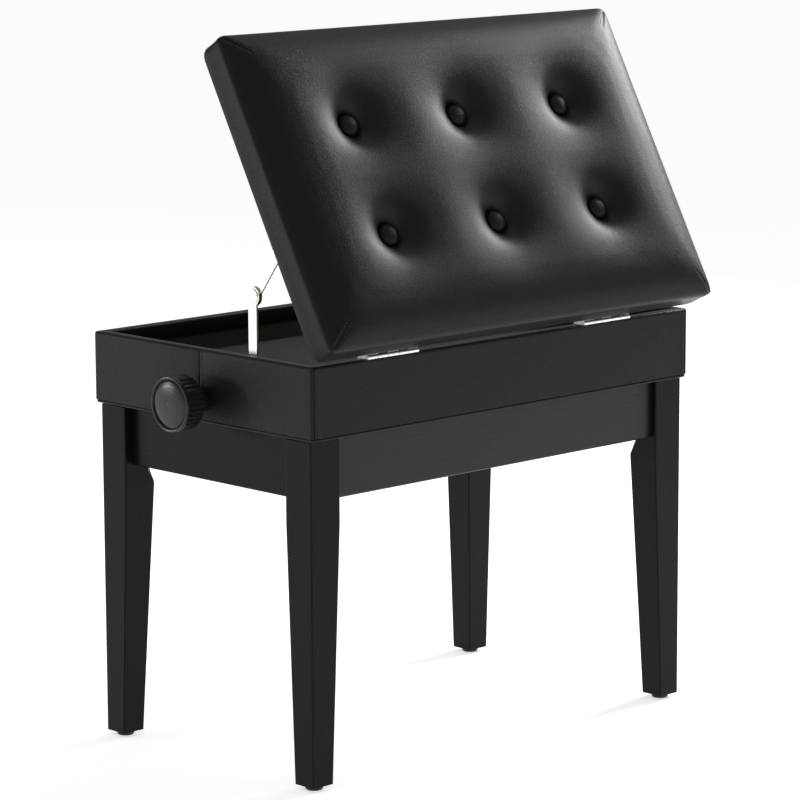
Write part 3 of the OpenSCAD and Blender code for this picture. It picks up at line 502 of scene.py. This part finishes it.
class Tree:
    """A Geometry Nodes tree with named inputs, used once or more and turned into plain meshes"""

    def __init__(self, name, inputs):
        self.tree = bpy.data.node_groups.new(name, "GeometryNodeTree")
        self.tree.interface.new_socket("Geometry", in_out="INPUT", socket_type="NodeSocketGeometry")
        for label, kind in inputs:
            self.tree.interface.new_socket(label, in_out="INPUT", socket_type=kind)
        self.tree.interface.new_socket("Geometry", in_out="OUTPUT", socket_type="NodeSocketGeometry")
        self.start = self.tree.nodes.new("NodeGroupInput")
        self.end = self.tree.nodes.new("NodeGroupOutput")

    def given(self, label):
        return self.start.outputs[label]

    def node(self, kind, settings=None, output=0, **values):
        made = self.tree.nodes.new(kind)
        for key, value in (settings or {}).items():
            setattr(made, key, value)
        for key, value in values.items():
            socket = made.inputs[key.replace("_", " ")]
            if isinstance(value, bpy.types.NodeSocket):
                self.tree.links.new(value, socket)
            else:
                socket.default_value = value
        return made.outputs[output]

    def facing(self, label):
        return self.node("GeometryNodeInputNamedAttribute", {"data_type": "FLOAT_VECTOR"}, Name=label)

    def finish(self, geometry):
        solid = self.node("GeometryNodeRealizeInstances", Geometry=geometry)
        painted = self.node("GeometryNodeSetMaterial", Geometry=solid, Material=self.given("Material"))
        self.tree.links.new(painted, self.end.inputs[0])
        return self

    def make(self, name, mesh, **values):
        piece = scratch_object(name + "_scratch", mesh)
        modifier = piece.modifiers.new("rule", "NODES")
        modifier.node_group = self.tree
        for item in self.tree.interface.items_tree:
            label = item.name.replace(" ", "_")
            if item.in_out == "INPUT" and label in values:
                modifier[item.identifier] = values[label]
        made = plain_mesh(name, piece)
        bpy.data.objects.remove(piece)
        return made


def seam_tree():
    """Stitches along the edges of a mesh whose points carry the way the surface faces"""
    t = Tree("seam_stitches", [("Pitch", "NodeSocketFloat"), ("Length", "NodeSocketFloat"),
                               ("Thread", "NodeSocketFloat"), ("Material", "NodeSocketMaterial")])
    line = t.node("GeometryNodeMeshToCurve", Mesh=t.given("Geometry"))
    points = t.tree.nodes.new("GeometryNodeCurveToPoints")
    points.mode = "LENGTH"
    t.tree.links.new(line, points.inputs["Curve"])
    t.tree.links.new(t.given("Pitch"), points.inputs["Length"])
    along = t.node("FunctionNodeAlignRotationToVector", {"axis": "X"},
                   Vector=points.outputs["Tangent"])
    upright = t.node("FunctionNodeAlignRotationToVector", {"axis": "Z", "pivot_axis": "X"},
                     Rotation=along, Vector=t.facing("facing"))
    bead = t.node("GeometryNodeMeshUVSphere", Segments=8, Rings=5, Radius=0.5)
    size = t.node("ShaderNodeCombineXYZ", X=t.given("Length"), Y=t.given("Thread"),
                  Z=t.given("Thread"))
    stitch = t.node("GeometryNodeTransform", Geometry=bead, Scale=size)
    row = t.node("GeometryNodeInstanceOnPoints", Points=points.outputs["Points"],
                 Instance=stitch, Rotation=upright)
    return t.finish(row)


def fastener_tree():
    """One part on every point of a mesh, turned the way the point faces"""
    t = Tree("fasteners", [("Part", "NodeSocketObject"), ("Size", "NodeSocketFloat"),
                           ("Material", "NodeSocketMaterial")])
    part = t.node("GeometryNodeObjectInfo", output="Geometry", Object=t.given("Part"))
    points = t.node("GeometryNodeMeshToPoints", Mesh=t.given("Geometry"))
    upright = t.node("FunctionNodeAlignRotationToVector", {"axis": "Z"}, Vector=t.facing("facing"))
    size = t.node("ShaderNodeCombineXYZ", X=t.given("Size"), Y=t.given("Size"), Z=t.given("Size"))
    row = t.node("GeometryNodeInstanceOnPoints", Points=points, Instance=part,
                 Rotation=upright, Scale=size)
    return t.finish(row)


def thread_tree():
    """The ridge of a screw thread, wound along +Z from the origin"""
    t = Tree("screw_ridge", [("Radius", "NodeSocketFloat"), ("Height", "NodeSocketFloat"),
                             ("Turns", "NodeSocketFloat"), ("Ridge", "NodeSocketFloat"),
                             ("Material", "NodeSocketMaterial")])
    spiral = t.node("GeometryNodeCurveSpiral", Resolution=20, Rotations=t.given("Turns"),
                    Start_Radius=t.given("Radius"), End_Radius=t.given("Radius"),
                    Height=t.given("Height"))
    section = t.node("GeometryNodeCurvePrimitiveCircle", {"mode": "RADIUS"}, Resolution=4,
                     Radius=t.given("Ridge"))
    return t.finish(t.node("GeometryNodeCurveToMesh", Curve=spiral, Profile_Curve=section))


def marked_mesh(name, points, facings, edges=()):
    mesh = bpy.data.meshes.new(name)
    mesh.from_pydata([tuple(p) for p in points], list(edges), [])
    mark = mesh.attributes.new("facing", "FLOAT_VECTOR", "POINT")
    mark.data.foreach_set("vector", [c for f in facings for c in f])
    return mesh


def trees():
    if "seam_stitches" not in TREES:
        TREES["seam_stitches"] = seam_tree()
        TREES["fasteners"] = fastener_tree()
        TREES["screw_ridge"] = thread_tree()
    return TREES


TREES = {}


# ---------------------------------------------------------------- Frame and fittings


CAD_FINISHES = {
    "paint_upright": ["leg_back_left", "leg_back_right", "leg_front_left", "leg_front_right"],
    # The long aprons take the paint whose base colour is lifted as painted sheen
    "paint_long": ["apron_back", "apron_front"],
    "paint_short": ["apron_left", "apron_right"],
    "stained_long": ["box_wall_back", "box_wall_front", "corner_blocks"],
    "stained_short": ["box_wall_left", "box_wall_right"],
    "plywood": ["storage_floor", "lid_board"],
    "felt": ["floor_felt", "dust_cover", "seat_foam"],
    "leather": ["box_cover", "bottom_edging", "cushion_cover", "tufting_buttons"],
    "nickel": ["box_hinge_leaves", "lid_hinge_leaves", "hinge_pins", "box_hinge_screws",
               "lid_hinge_screws", "stay_wall_bracket", "stay_wall_screws", "stay_lid_bracket",
               "stay_lid_screws", "stay_lower_arm", "elbow_rivet", "stay_upper_arm",
               "lid_pivot_rivet"],
    "zinc": ["corner_brackets", "hanger_bolts", "hanger_nuts", "bracket_screws",
             "lower_rail_back", "lower_rail_front", "lower_pivot_bar", "lower_rail_screws",
             "upper_rail_back", "upper_rail_front", "upper_pivot_pins", "upper_rail_screws",
             "button_washers", "lift_outer_arms", "centre_pins", "lift_inner_arms", "slide_bar",
             "nut_bar", "lead_screw", "shaft_collars"],
    "black_plastic": ["knob_left", "knob_right", "knob_bushes", "glides"],
}


class BENCH_OT_finishes(bpy.types.Operator):
    """Give every carried-over piece its own finish"""

    bl_idname = "bench.finishes"
    bl_label = "Finishes"

    def execute(self, context):
        for finish, names in CAD_FINISHES.items():
            for name in names:
                data = frame["nodes"][name].data
                data.materials.clear()
                data.materials.append(material(finish))
        return {"FINISHED"}


# The screws of each node: its body, slot, and if it is on the lid
SCREWS = {
    "bracket_screws": ("frame", "zinc", False),
    "lower_rail_screws": ("frame", "zinc", False),
    "upper_rail_screws": ("seat_box", "zinc", False),
    "box_hinge_screws": ("seat_box", "nickel", False),
    "stay_wall_screws": ("seat_box", "nickel", False),
    "lid_hinge_screws": ("lid", "nickel", True),
    "stay_lid_screws": ("lid", "nickel", True),
}


def screw_part(name, domed):
    """A screw with a crossed recess, its head of radius 1 m at z = 0, pointing down"""
    if domed:
        profile = [(0, 0.62), (0.45, 0.57), (0.78, 0.38), (0.96, 0.12), (1.0, 0), (0.97, -0.04),
                   (0.5, -0.04), (0.47, -3.2), (0.2, -3.6), (0, -3.7)]
    else:
        profile = [(0, 0.02), (0.9, 0.02), (1.0, -0.03), (0.55, -0.48), (0.5, -3.3), (0.2, -3.7),
                   (0, -3.8)]
    mesh = spun(name, [(max(r, 1e-4), h) for r, h in profile], 24)
    head = scratch_object(name, mesh)
    for turn in (0, 1):
        tool = bpy.data.meshes.new("recess")
        work = bmesh.new()
        bmesh.ops.create_cube(work, size=1)
        for vertex in work.verts:
            deep = vertex.co.z < 0
            vertex.co.x *= 0.62 if deep else 1.15
            vertex.co.y *= 0.13 if deep else 0.2
            vertex.co.z = (-0.3 if not domed else 0.12) if deep else 1.0
        work.transform(Matrix.Rotation(turn * math.pi / 2, 4, "Z"))
        work.to_mesh(tool)
        work.free()
        cutter = scratch_object("recess", tool)
        cut = head.modifiers.new("recess", "BOOLEAN")
        cut.operation = "DIFFERENCE"
        cut.solver = "EXACT"
        cut.object = cutter
        finished = plain_mesh(name, head)
        head.modifiers.clear()
        head.data = finished
        bpy.data.objects.remove(cutter)
    smooth(head.data, 30)
    head.hide_render = True
    return head


def screw_heads(node, undo):
    """Where each screw's head sits, the way it faces, and its radius"""
    found = []
    for points in solids(node, undo):
        spans = points.max(0) - points.min(0)
        axis = int(np.argmax(spans))
        centre = (points.max(0) + points.min(0)) / 2
        across = np.delete(points - centre, axis, 1)
        reach = np.hypot(across[:, 0], across[:, 1])
        widest = points[reach > reach.max() * 0.98, axis].mean()
        sign = 1.0 if widest > centre[axis] else -1.0
        facing = np.zeros(3)
        facing[axis] = sign
        place = centre.copy()
        place[axis] = points[:, axis].max() if sign > 0 else points[:, axis].min()
        found.append((place, facing, reach.max()))
    return found


class BENCH_OT_screws(bpy.types.Operator):
    """Crossed screws of the hinges, the stay, the rails and the corner brackets"""

    bl_idname = "bench.screws"
    bl_label = "Screws"

    def execute(self, context):
        parts = {True: screw_part("pan_screw", True), False: screw_part("sunk_screw", False)}
        for node, (body, finish, on_lid) in SCREWS.items():
            undo = OPENED.inverted() if on_lid else Matrix.Identity(4)
            heads = screw_heads(node, undo)
            radius = heads[0][2]
            domed = finish == "zinc"
            places = [p - f * radius * 0.5 * domed for p, f, _ in heads]
            points = marked_mesh(node + "_points", places, [f for _, f, _ in heads])
            mesh = trees()["fasteners"].make(
                node + "_crossed", points, Part=parts[domed], Size=float(radius),
                Material=material(finish))
            if on_lid:
                mesh.transform(OPENED)
            smooth(mesh, 30)
            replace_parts(new_object("crossed_" + node, mesh, finish, body), node)
        for part in parts.values():
            bpy.data.objects.remove(part)
        return {"FINISHED"}


class BENCH_OT_lead_thread(bpy.types.Operator):
    """The thread of the lead screw under the box"""

    bl_idname = "bench.lead_thread"
    bl_label = "Lead thread"

    def execute(self, context):
        low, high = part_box("nut_bar")
        centre = JOINTS["knob_turn"]["pos_m"]
        reach = HALF_X - 42 * MM
        pitch = 4 * MM
        mesh = trees()["screw_ridge"].make(
            "lead_thread", bpy.data.meshes.new("blank"), Radius=5.35 * MM, Height=2 * reach,
            Turns=2 * reach / pitch, Ridge=0.75 * MM, Material=material("zinc"))
        mesh.transform(Matrix.Translation((-reach, 0, centre[2])) @ Matrix.Rotation(math.pi / 2, 4, "Y"))
        outward(mesh)
        new_object("lead_thread", mesh, "zinc", "lift_screw")
        return {"FINISHED"}


# ---------------------------------------------------------------- Box leather


def swept_frame(name, profile, corner, stations):
    """A closed profile of (inset, height) taken round the box, with stations (side, place, dip)"""
    rings = []
    for side, place, dip in stations:
        ring = []
        for inset, height in profile:
            sink = dip if inset < 1 * MM else 0.0
            o = inset + sink
            r = max(corner - o, 0.3 * MM)
            cx, cy = HALF_X - o - r, HALF_Y - o - r
            if side == "arc":
                quarter = int(place)
                a = math.pi / 2 * place
                x = cx * (1 if quarter in (0, 3) else -1) + r * math.cos(a)
                y = cy * (1 if quarter < 2 else -1) + r * math.sin(a)
            elif side in ("front", "back"):
                way = 1 if side == "front" else -1
                x, y = -way * cx * place, way * (HALF_Y - o)
            else:
                way = 1 if side == "right" else -1
                x, y = way * (HALF_X - o), way * cy * place
            ring.append((x, y, height))
        rings.append(ring)
    return loft(name, rings, closed=True)


def frame_stations(seams):
    """Stations counter-clockwise from the right side; seams are {side: [(place, width, dip)]}"""
    stations = []
    for quarter, side in ((0, "right"), (1, "front"), (2, "left"), (3, "back")):
        line = [(-0.985, 0.0), (-0.5, 0.0), (0.5, 0.0), (0.985, 0.0)]
        for place, width, dip in seams.get(side, []):
            for step, share in ((-1.6, 0), (-1, 0.12), (-0.5, 0.62), (0, 1), (0.5, 0.62),
                                (1, 0.12), (1.6, 0)):
                line.append((place + step * width, dip * share))
        stations += [(side, p, d) for p, d in sorted(line)]
        stations += [("arc", quarter + i / 6 * 0.9999, 0.0) for i in range(7)]
    return stations


class BENCH_OT_box_leather(bpy.types.Operator):
    """Leather over the walls of the box, with a round rim, seams and the rolled hem below"""

    bl_idname = "bench.box_leather"
    bl_label = "Box leather"

    def execute(self, context):
        look = context.scene.bench_leather
        z0, z1 = BOX_LOW.z, BOX_HIGH.z
        rim, roll = look.rim, 2.2 * MM
        inner = 11.5 * MM
        profile = [(0.0, z0), (0.0, z0 + 2 * MM), (0.0, z0 + 20 * MM), (0.0, z0 + 50 * MM),
                   (0.0, z1 - rim - 2 * MM)]
        profile += [(rim - rim * math.cos(a), z1 - rim + rim * math.sin(a))
                    for a in (math.pi / 2 * i / 6 for i in range(7))]
        profile += [(inner - roll + roll * math.sin(a), z1 - roll + roll * math.cos(a))
                    for a in (math.pi / 2 * i / 6 for i in range(7))]
        flap = BOX_HIGH.z - 17 * MM
        profile += [(inner, z1 - roll - 1 * MM), (inner, flap + 0.5 * MM), (inner - 0.4 * MM, flap),
                    (inner - 0.95 * MM, flap), (inner - 0.95 * MM, z1 - 1.55 * MM),
                    (1.45 * MM, z1 - 1.55 * MM), (1.45 * MM, z0)]
        near = 2.6 * MM / HALF_X
        seams = {
            "back": [(-1 + near * 0.45, near * 0.25, 1.3 * MM), (1 - near * 0.45, near * 0.25, 1.3 * MM)],
            "front": [(-1 + near * 0.45, near * 0.25, 1.3 * MM), (1 - near * 0.45, near * 0.25, 1.3 * MM)],
            "left": [(0.0, 0.0055, 0.6 * MM)],
            "right": [(0.0, 0.0055, 0.6 * MM)],
        }
        mesh = swept_frame("box_leather", profile, 2.2 * MM, frame_stations(seams))
        smooth(mesh, 50)
        cover = new_object("box_leather", mesh, "leather", "seat_box")
        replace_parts(cover, "box_cover")

        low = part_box("bottom_edging")[0].z
        bead = (z0 - low) / 2
        hem = [(1.0 * MM + bead - bead * math.sin(a), z0 - bead + bead * math.cos(a))
               for a in (math.pi * i / 8 for i in range(9))]
        hem += [(10.4 * MM, low), (10.4 * MM, z0)]
        mesh = swept_frame("rolled_hem", hem, 2.4 * MM, frame_stations({}))
        smooth(mesh, 50)
        edge = new_object("rolled_hem", mesh, "leather", "seat_box")
        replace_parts(edge, "bottom_edging")
        return {"FINISHED"}


class BENCH_OT_box_stitches(bpy.types.Operator):
    """Stitches beside the seams of the box"""

    bl_idname = "bench.box_stitches"
    bl_label = "Box stitches"

    def execute(self, context):
        look = context.scene.bench_leather
        z0, z1 = BOX_LOW.z, BOX_HIGH.z
        points, facings, edges = [], [], []

        def line(start, end, facing):
            edges.append((len(points), len(points) + 1))
            points.extend((start, end))
            facings.extend((facing, facing))

        for side in (-1, 1):
            x = side * (HALF_X + 0.1 * MM)
            for y in (-3.4 * MM, 3.4 * MM):
                line((x, y, z1 - look.rim), (x, y, z0 + 2 * MM), (side, 0, 0))
        for way in (-1, 1):
            y = way * (HALF_Y + 0.1 * MM)
            for side in (-1, 1):
                x = side * (HALF_X - 8 * MM)
                line((x, y, z1 - look.rim), (x, y, z0 + 2 * MM), (0, way, 0))
        mesh = trees()["seam_stitches"].make(
            "box_stitches", marked_mesh("box_seams", points, facings, edges),
            Pitch=look.stitch_pitch, Length=look.stitch_length, Thread=look.thread,
            Material=material("thread"))
        smooth(mesh, 60)
        new_object("box_stitches", mesh, "thread", "seat_box")
        return {"FINISHED"}


# ---------------------------------------------------------------- Cushion


def button_centres():
    """The middle of each button, on the closed lid"""
    found = []
    for points in solids("tufting_buttons", OPENED.inverted()):
        middle = (points.max(0) + points.min(0)) / 2
        found.append((float(middle[0]), float(middle[1])))
    return found


def cushion_side():
    """The side of the cushion from its base to its crown, as (inset, height) in millimetres"""
    return [(3.0, 0.0), (1.2, 0.8), (0.2, 2.4), (0.0, 6), (0.0, 14), (-0.3, 22), (-1.0, 28),
            (-1.7, 31.5), (-0.9, 33.4), (1.4, 34.8), (5, 37), (10, 39.8), (17, 43.2),
            (26, 46.6), (38, 49.2), (52, 50.6), (70, 51), (90, 51.0)]


def cushion_start(look):
    lid_x, lid_y = HALF_X + 3.0 * MM, HALF_Y + 2.2 * MM
    lift = look.crown / (51 * MM)
    rings = []
    for inset, height in cushion_side():
        o = inset * MM
        radius = max(8.5 * MM + o * 0.4, 4 * MM)
        rings.append(ring_points(lid_x - o, lid_y - o, radius, LID_Z + height * MM * lift, 8))
    return loft("cushion_start", rings)


def wells(points, centres, look):
    """How far each point is pulled down by the buttons"""
    drop = np.zeros(len(points))
    for x, y in centres:
        reach = np.hypot(points[:, 0] - x, points[:, 1] - y)
        away = np.maximum(reach - 0.7 * look.button, 0) / look.well_spread
        drop = np.maximum(drop, np.exp(-away ** 1.35))
    return look.well_depth * drop


def evened(mesh, moves, rounds):
    """Movements of a mesh's points, each averaged with its neighbours' to lose small creases"""
    ends = np.empty(len(mesh.edges) * 2, dtype=np.int64)
    mesh.edges.foreach_get("vertices", ends)
    first, second = ends[::2], ends[1::2]
    count = np.bincount(ends, minlength=len(moves)).astype(float)[:, None]
    for _ in range(rounds):
        total = np.zeros_like(moves)
        np.add.at(total, first, moves[second])
        np.add.at(total, second, moves[first])
        moves = 0.5 * moves + 0.5 * total / np.maximum(count, 1)
    return moves


def stuffed(mesh, centres, look):
    """The cushion blown up by its stuffing, held at the base and under the buttons"""
    start = read_points(mesh)
    piece = scratch_object("cushion_cloth", mesh.copy())
    held = piece.vertex_groups.new(name="held")
    height = start[:, 2] - LID_Z
    near = np.min([np.hypot(start[:, 0] - x, start[:, 1] - y) for x, y in centres], axis=0)
    fixed = (height < 32 * MM) | ((near < 10 * MM) & (height > 20 * MM))
    held.add([int(i) for i in np.nonzero(fixed)[0]], 1.0, "REPLACE")
    cloth = piece.modifiers.new("cloth", "CLOTH")
    settings = cloth.settings
    settings.quality = 5
    settings.mass = 0.3
    settings.tension_stiffness = 12
    settings.compression_stiffness = 12
    settings.bending_stiffness = 0.6
    settings.use_pressure = True
    settings.uniform_pressure_force = 4.0
    settings.effector_weights.gravity = 0
    settings.vertex_group_mass = "held"
    cloth.collision_settings.use_collision = False
    scene = bpy.context.scene
    for step in range(1, 21):
        scene.frame_set(step)
    swollen = plain_mesh("cushion_swollen", piece)
    scene.frame_set(1)
    moved = evened(mesh, read_points(swollen) - start, 14)
    reach = np.linalg.norm(moved, axis=1)
    share = np.minimum(1.0, look.swell / np.maximum(reach, 1e-9))
    bpy.data.objects.remove(piece)
    return start + moved * share[:, None]


def moats(points, centres, look):
    """The leather tucked in under the edge of each button"""
    for x, y in centres:
        reach = np.hypot(points[:, 0] - x, points[:, 1] - y)
        upper = points[:, 2] > LID_Z + 20 * MM
        ring = np.exp(-((reach - look.button - 0.6 * MM) / (2.2 * MM)) ** 2)
        under = reach < look.button
        points[:, 2] -= upper * np.where(under, 3.6 * MM, 3.6 * MM * ring)
    return points


def corner_darts(points, depth=1.5 * MM, length=30 * MM):
    """Folds of leather that run in from each corner of the crown"""
    lid_x, lid_y = HALF_X + 3.0 * MM, HALF_Y + 2.2 * MM
    for sx in (-1, 1):
        for sy in (-1, 1):
            corner = np.array([sx * (lid_x - 5 * MM), sy * (lid_y - 5 * MM)])
            inward = np.array([-sx, -sy]) / math.sqrt(2)
            away = points[:, :2] - corner
            along = away @ inward
            across = away @ np.array([-inward[1], inward[0]])
            height = points[:, 2] - LID_Z
            fade = np.clip((along + 4 * MM) / (6 * MM), 0, 1) * np.clip(1 - along / length, 0, 1)
            fade *= np.clip((height - 26 * MM) / (6 * MM), 0, 1)
            groove = np.exp(-(across / (1.3 * MM)) ** 2) - 0.45 * np.exp(
                -((across - 4.5 * MM) / (3 * MM)) ** 2)
            points[:, 2] -= depth * fade ** 0.6 * groove
    return points


class BENCH_OT_cushion(bpy.types.Operator):
    """The buttoned leather cushion, stuffed by a short cloth simulation"""

    bl_idname = "bench.cushion"
    bl_label = "Cushion"

    def execute(self, context):
        look = context.scene.bench_leather
        centres = button_centres()
        start = scratch_object("cushion_start", cushion_start(look))
        remesh = start.modifiers.new("remesh", "REMESH")
        remesh.mode = "VOXEL"
        remesh.voxel_size = 3.9 * MM
        mesh = plain_mesh("cushion", start)
        bpy.data.objects.remove(start)
        points = read_points(mesh)
        top = np.clip((points[:, 2] - LID_Z - 26 * MM) / (14 * MM), 0, 1)
        points[:, 2] -= wells(points, centres, look) * top
        write_points(mesh, points)
        write_points(mesh, stuffed(mesh, centres, look))
        work = scratch_object("cushion_fine", mesh)
        fine = work.modifiers.new("fine", "SUBSURF")
        fine.levels = fine.render_levels = 1
        mesh = plain_mesh("cushion", work)
        bpy.data.objects.remove(work)
        points = corner_darts(read_points(mesh))
        points = moats(points, centres, look)
        stay = (solids("stay_lid_bracket", OPENED.inverted())[0]).mean(0)
        relief = ((np.abs(points[:, 0] - stay[0] + 10 * MM) < 10 * MM)
                  & (np.abs(points[:, 1] - stay[1]) < 22 * MM) & (points[:, 2] < LID_Z + 6 * MM))
        points[relief, 2] = LID_Z + 1.2 * MM
        inside = ((np.abs(points[:, 0]) < HALF_X - 21.5 * MM) & (np.abs(points[:, 1]) < HALF_Y - 21.5 * MM)
                  & (points[:, 2] < LID_Z + 6 * MM))
        points[inside, 2] = LID_Z + 2.5 * MM
        write_points(mesh, points)
        mesh.transform(OPENED)
        outward(mesh)
        mesh.polygons.foreach_set("use_smooth", [True] * len(mesh.polygons))
        cushion = new_object("cushion", mesh, "cushion_leather", "lid")
        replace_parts(cushion, "cushion_cover", "seat_foam")
        return {"FINISHED"}


class BENCH_OT_buttons(bpy.types.Operator):
    """Leather-covered buttons, one in each well"""

    bl_idname = "bench.buttons"
    bl_label = "Buttons"

    def execute(self, context):
        look = context.scene.bench_leather
        foot = LID_Z + look.crown - look.well_depth + 1.5 * MM
        profile = [(0.0001, 6.4), (0.25, 6.25), (0.48, 5.75), (0.7, 4.8), (0.87, 3.4), (0.97, 1.9),
                   (1.0, 0.7), (0.97, -0.4), (0.84, -1.1), (0.5, -1.4), (0.0001, -1.5)]
        part = scratch_object("covered_button", spun(
            "covered_button", [(r * look.button, h * MM) for r, h in profile], 40))
        places = [(x, y, foot) for x, y in button_centres()]
        points = marked_mesh("button_points", places, [(0, 0, 1)] * len(places))
        mesh = trees()["fasteners"].make("covered_buttons", points, Part=part, Size=1.0,
                                         Material=material("leather"))
        bpy.data.objects.remove(part)
        mesh.transform(OPENED)
        smooth(mesh, 60)
        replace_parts(new_object("covered_buttons", mesh, "leather", "lid"), "tufting_buttons")
        return {"FINISHED"}


class BENCH_OT_dart_stitches(bpy.types.Operator):
    """Short rows of stitches over the folds at the corners of the cushion"""

    bl_idname = "bench.dart_stitches"
    bl_label = "Corner stitches"

    def execute(self, context):
        look = context.scene.bench_leather
        cushion = bpy.data.objects["cushion"]
        surface = read_points(cushion.data)
        back = OPENED.inverted()
        closed = surface @ np.array(back.to_3x3()).T + np.array(back.translation)
        top = closed[closed[:, 2] > LID_Z + 28 * MM]
        lid_x, lid_y = HALF_X + 3.0 * MM, HALF_Y + 2.2 * MM
        points, facings, edges = [], [], []
        for sx in (-1, 1):
            for sy in (-1, 1):
                for offset in (-2.6 * MM, 2.6 * MM):
                    first = len(points)
                    for i in range(5):
                        run = (6 + 5.5 * i) * MM / math.sqrt(2)
                        x = sx * (lid_x - 5 * MM - run) + sy * offset / math.sqrt(2)
                        y = sy * (lid_y - 5 * MM - run) - sx * offset / math.sqrt(2)
                        near = np.argsort(np.hypot(top[:, 0] - x, top[:, 1] - y))[:4]
                        points.append((x, y, float(top[near, 2].mean()) + 0.1 * MM))
                        facings.append((sx * 0.3, sy * 0.3, 0.9))
                    edges += [(first + i, first + i + 1) for i in range(4)]
        mesh = trees()["seam_stitches"].make(
            "corner_stitches", marked_mesh("dart_seams", points, facings, edges),
            Pitch=look.stitch_pitch, Length=look.stitch_length, Thread=look.thread,
            Material=material("thread"))
        mesh.transform(OPENED)
        smooth(mesh, 60)
        new_object("corner_stitches", mesh, "thread", "lid")
        return {"FINISHED"}


# ---------------------------------------------------------------- Stage


def soft_light(name, place, target, size, power, colour=(1, 1, 1)):
    lamp = bpy.data.lights.new(name, "AREA")
    lamp.shape = "RECTANGLE"
    lamp.size, lamp.size_y = size
    lamp.energy = power
    lamp.color = colour
    piece = bpy.data.objects.new(name, lamp)
    bpy.context.scene.collection.objects.link(piece)
    piece.location = place
    piece.rotation_euler = (Vector(target) - Vector(place)).to_track_quat("-Z", "Y").to_euler()
    return piece


class BENCH_OT_stage(bpy.types.Operator):
    """Floor, soft studio light and the camera"""

    bl_idname = "bench.stage"
    bl_label = "Stage"

    def execute(self, context):
        scene = context.scene
        white = Shader("studio_floor")
        cloud = white.noise(white.place(), 3.0, 2.0, 0.5)
        white.finish(Base_Color=white.blend(cloud, (0.88, 0.88, 0.88), (0.92, 0.92, 0.92)),
                     Roughness=0.9, Emission_Color=(1.0, 1.0, 1.0), Emission_Strength=0.62)
        mesh = bpy.data.meshes.new("studio_floor")
        far = 30.0
        mesh.from_pydata([(-far, -far, 0), (far, -far, 0), (far, far, 0), (-far, far, 0)], [],
                         [(0, 1, 2, 3)])
        mesh.materials.append(white.material)
        floor = bpy.data.objects.new("studio_floor", mesh)
        scene.collection.objects.link(floor)

        soft_light("key", (2.25, 0.0, 1.55), (0.1, -0.1, 0.6), (0.8, 0.8), 52)
        soft_light("fill", (-2.6, -1.4, 1.9), (0, 0, 0.4), (1.0, 1.0), 2)
        soft_light("edge", (-1.7, 1.7, 0.52), (-0.3, 0, 0.38), (0.3, 0.3), 5)
        soft_light("top", (0.2, 0.6, 3.2), (0, 0, 0.5), (2.4, 2.0), 8)

        world = bpy.data.worlds.new("studio")
        scene.world = world
        world.use_nodes = True
        world.node_tree.nodes["Background"].inputs["Color"].default_value = (1, 1, 1, 1)
        world.node_tree.nodes["Background"].inputs["Strength"].default_value = 0.38
        scene.view_settings.view_transform = "Standard"

        lens = bpy.data.cameras.new("camera")
        lens.lens = 163.05
        lens.sensor_width = 36
        lens.clip_end = 200
        camera = bpy.data.objects.new("camera", lens)
        scene.collection.objects.link(camera)
        camera.location = (-2.6283, -2.7361, 1.0154)
        camera.rotation_euler = (math.pi / 2 - 0.1748995, 0.0041855, -0.767089)
        scene.camera = camera
        return {"FINISHED"}


# ---------------------------------------------------------------- Add-on


class BENCH_PT_panel(bpy.types.Panel):
    """The steps that make the bench"""

    bl_label = "Piano Bench"
    bl_idname = "BENCH_PT_panel"
    bl_space_type = "VIEW_3D"
    bl_region_type = "UI"
    bl_category = "Bench"

    def draw(self, context):
        for group in (context.scene.bench_leather, context.scene.bench_finish):
            box = self.layout.box()
            for name in group.__annotations__:
                box.prop(group, name)
        for operator in OPERATORS:
            self.layout.operator(operator.bl_idname)


OPERATORS = (
    BENCH_OT_finishes,
    BENCH_OT_cushion,
    BENCH_OT_buttons,
    BENCH_OT_dart_stitches,
    BENCH_OT_box_leather,
    BENCH_OT_box_stitches,
    BENCH_OT_screws,
    BENCH_OT_lead_thread,
    BENCH_OT_stage,
)
CLASSES = (BenchLeather, BenchFinish, *OPERATORS, BENCH_PT_panel)


def register():
    for cls in CLASSES:
        bpy.utils.register_class(cls)
    bpy.types.Scene.bench_leather = bpy.props.PointerProperty(type=BenchLeather)
    bpy.types.Scene.bench_finish = bpy.props.PointerProperty(type=BenchFinish)


def unregister():
    del bpy.types.Scene.bench_finish
    del bpy.types.Scene.bench_leather
    for cls in reversed(CLASSES):
        bpy.utils.unregister_class(cls)


def main():
    register()
    bpy.ops.bench.finishes()
    bpy.ops.bench.cushion()
    bpy.ops.bench.buttons()
    bpy.ops.bench.dart_stitches()
    bpy.ops.bench.box_leather()
    bpy.ops.bench.box_stitches()
    bpy.ops.bench.screws()
    bpy.ops.bench.lead_thread()
    bpy.ops.bench.stage()
    bpy.context.view_layer.update()


if __name__ == "__main__":
    main()
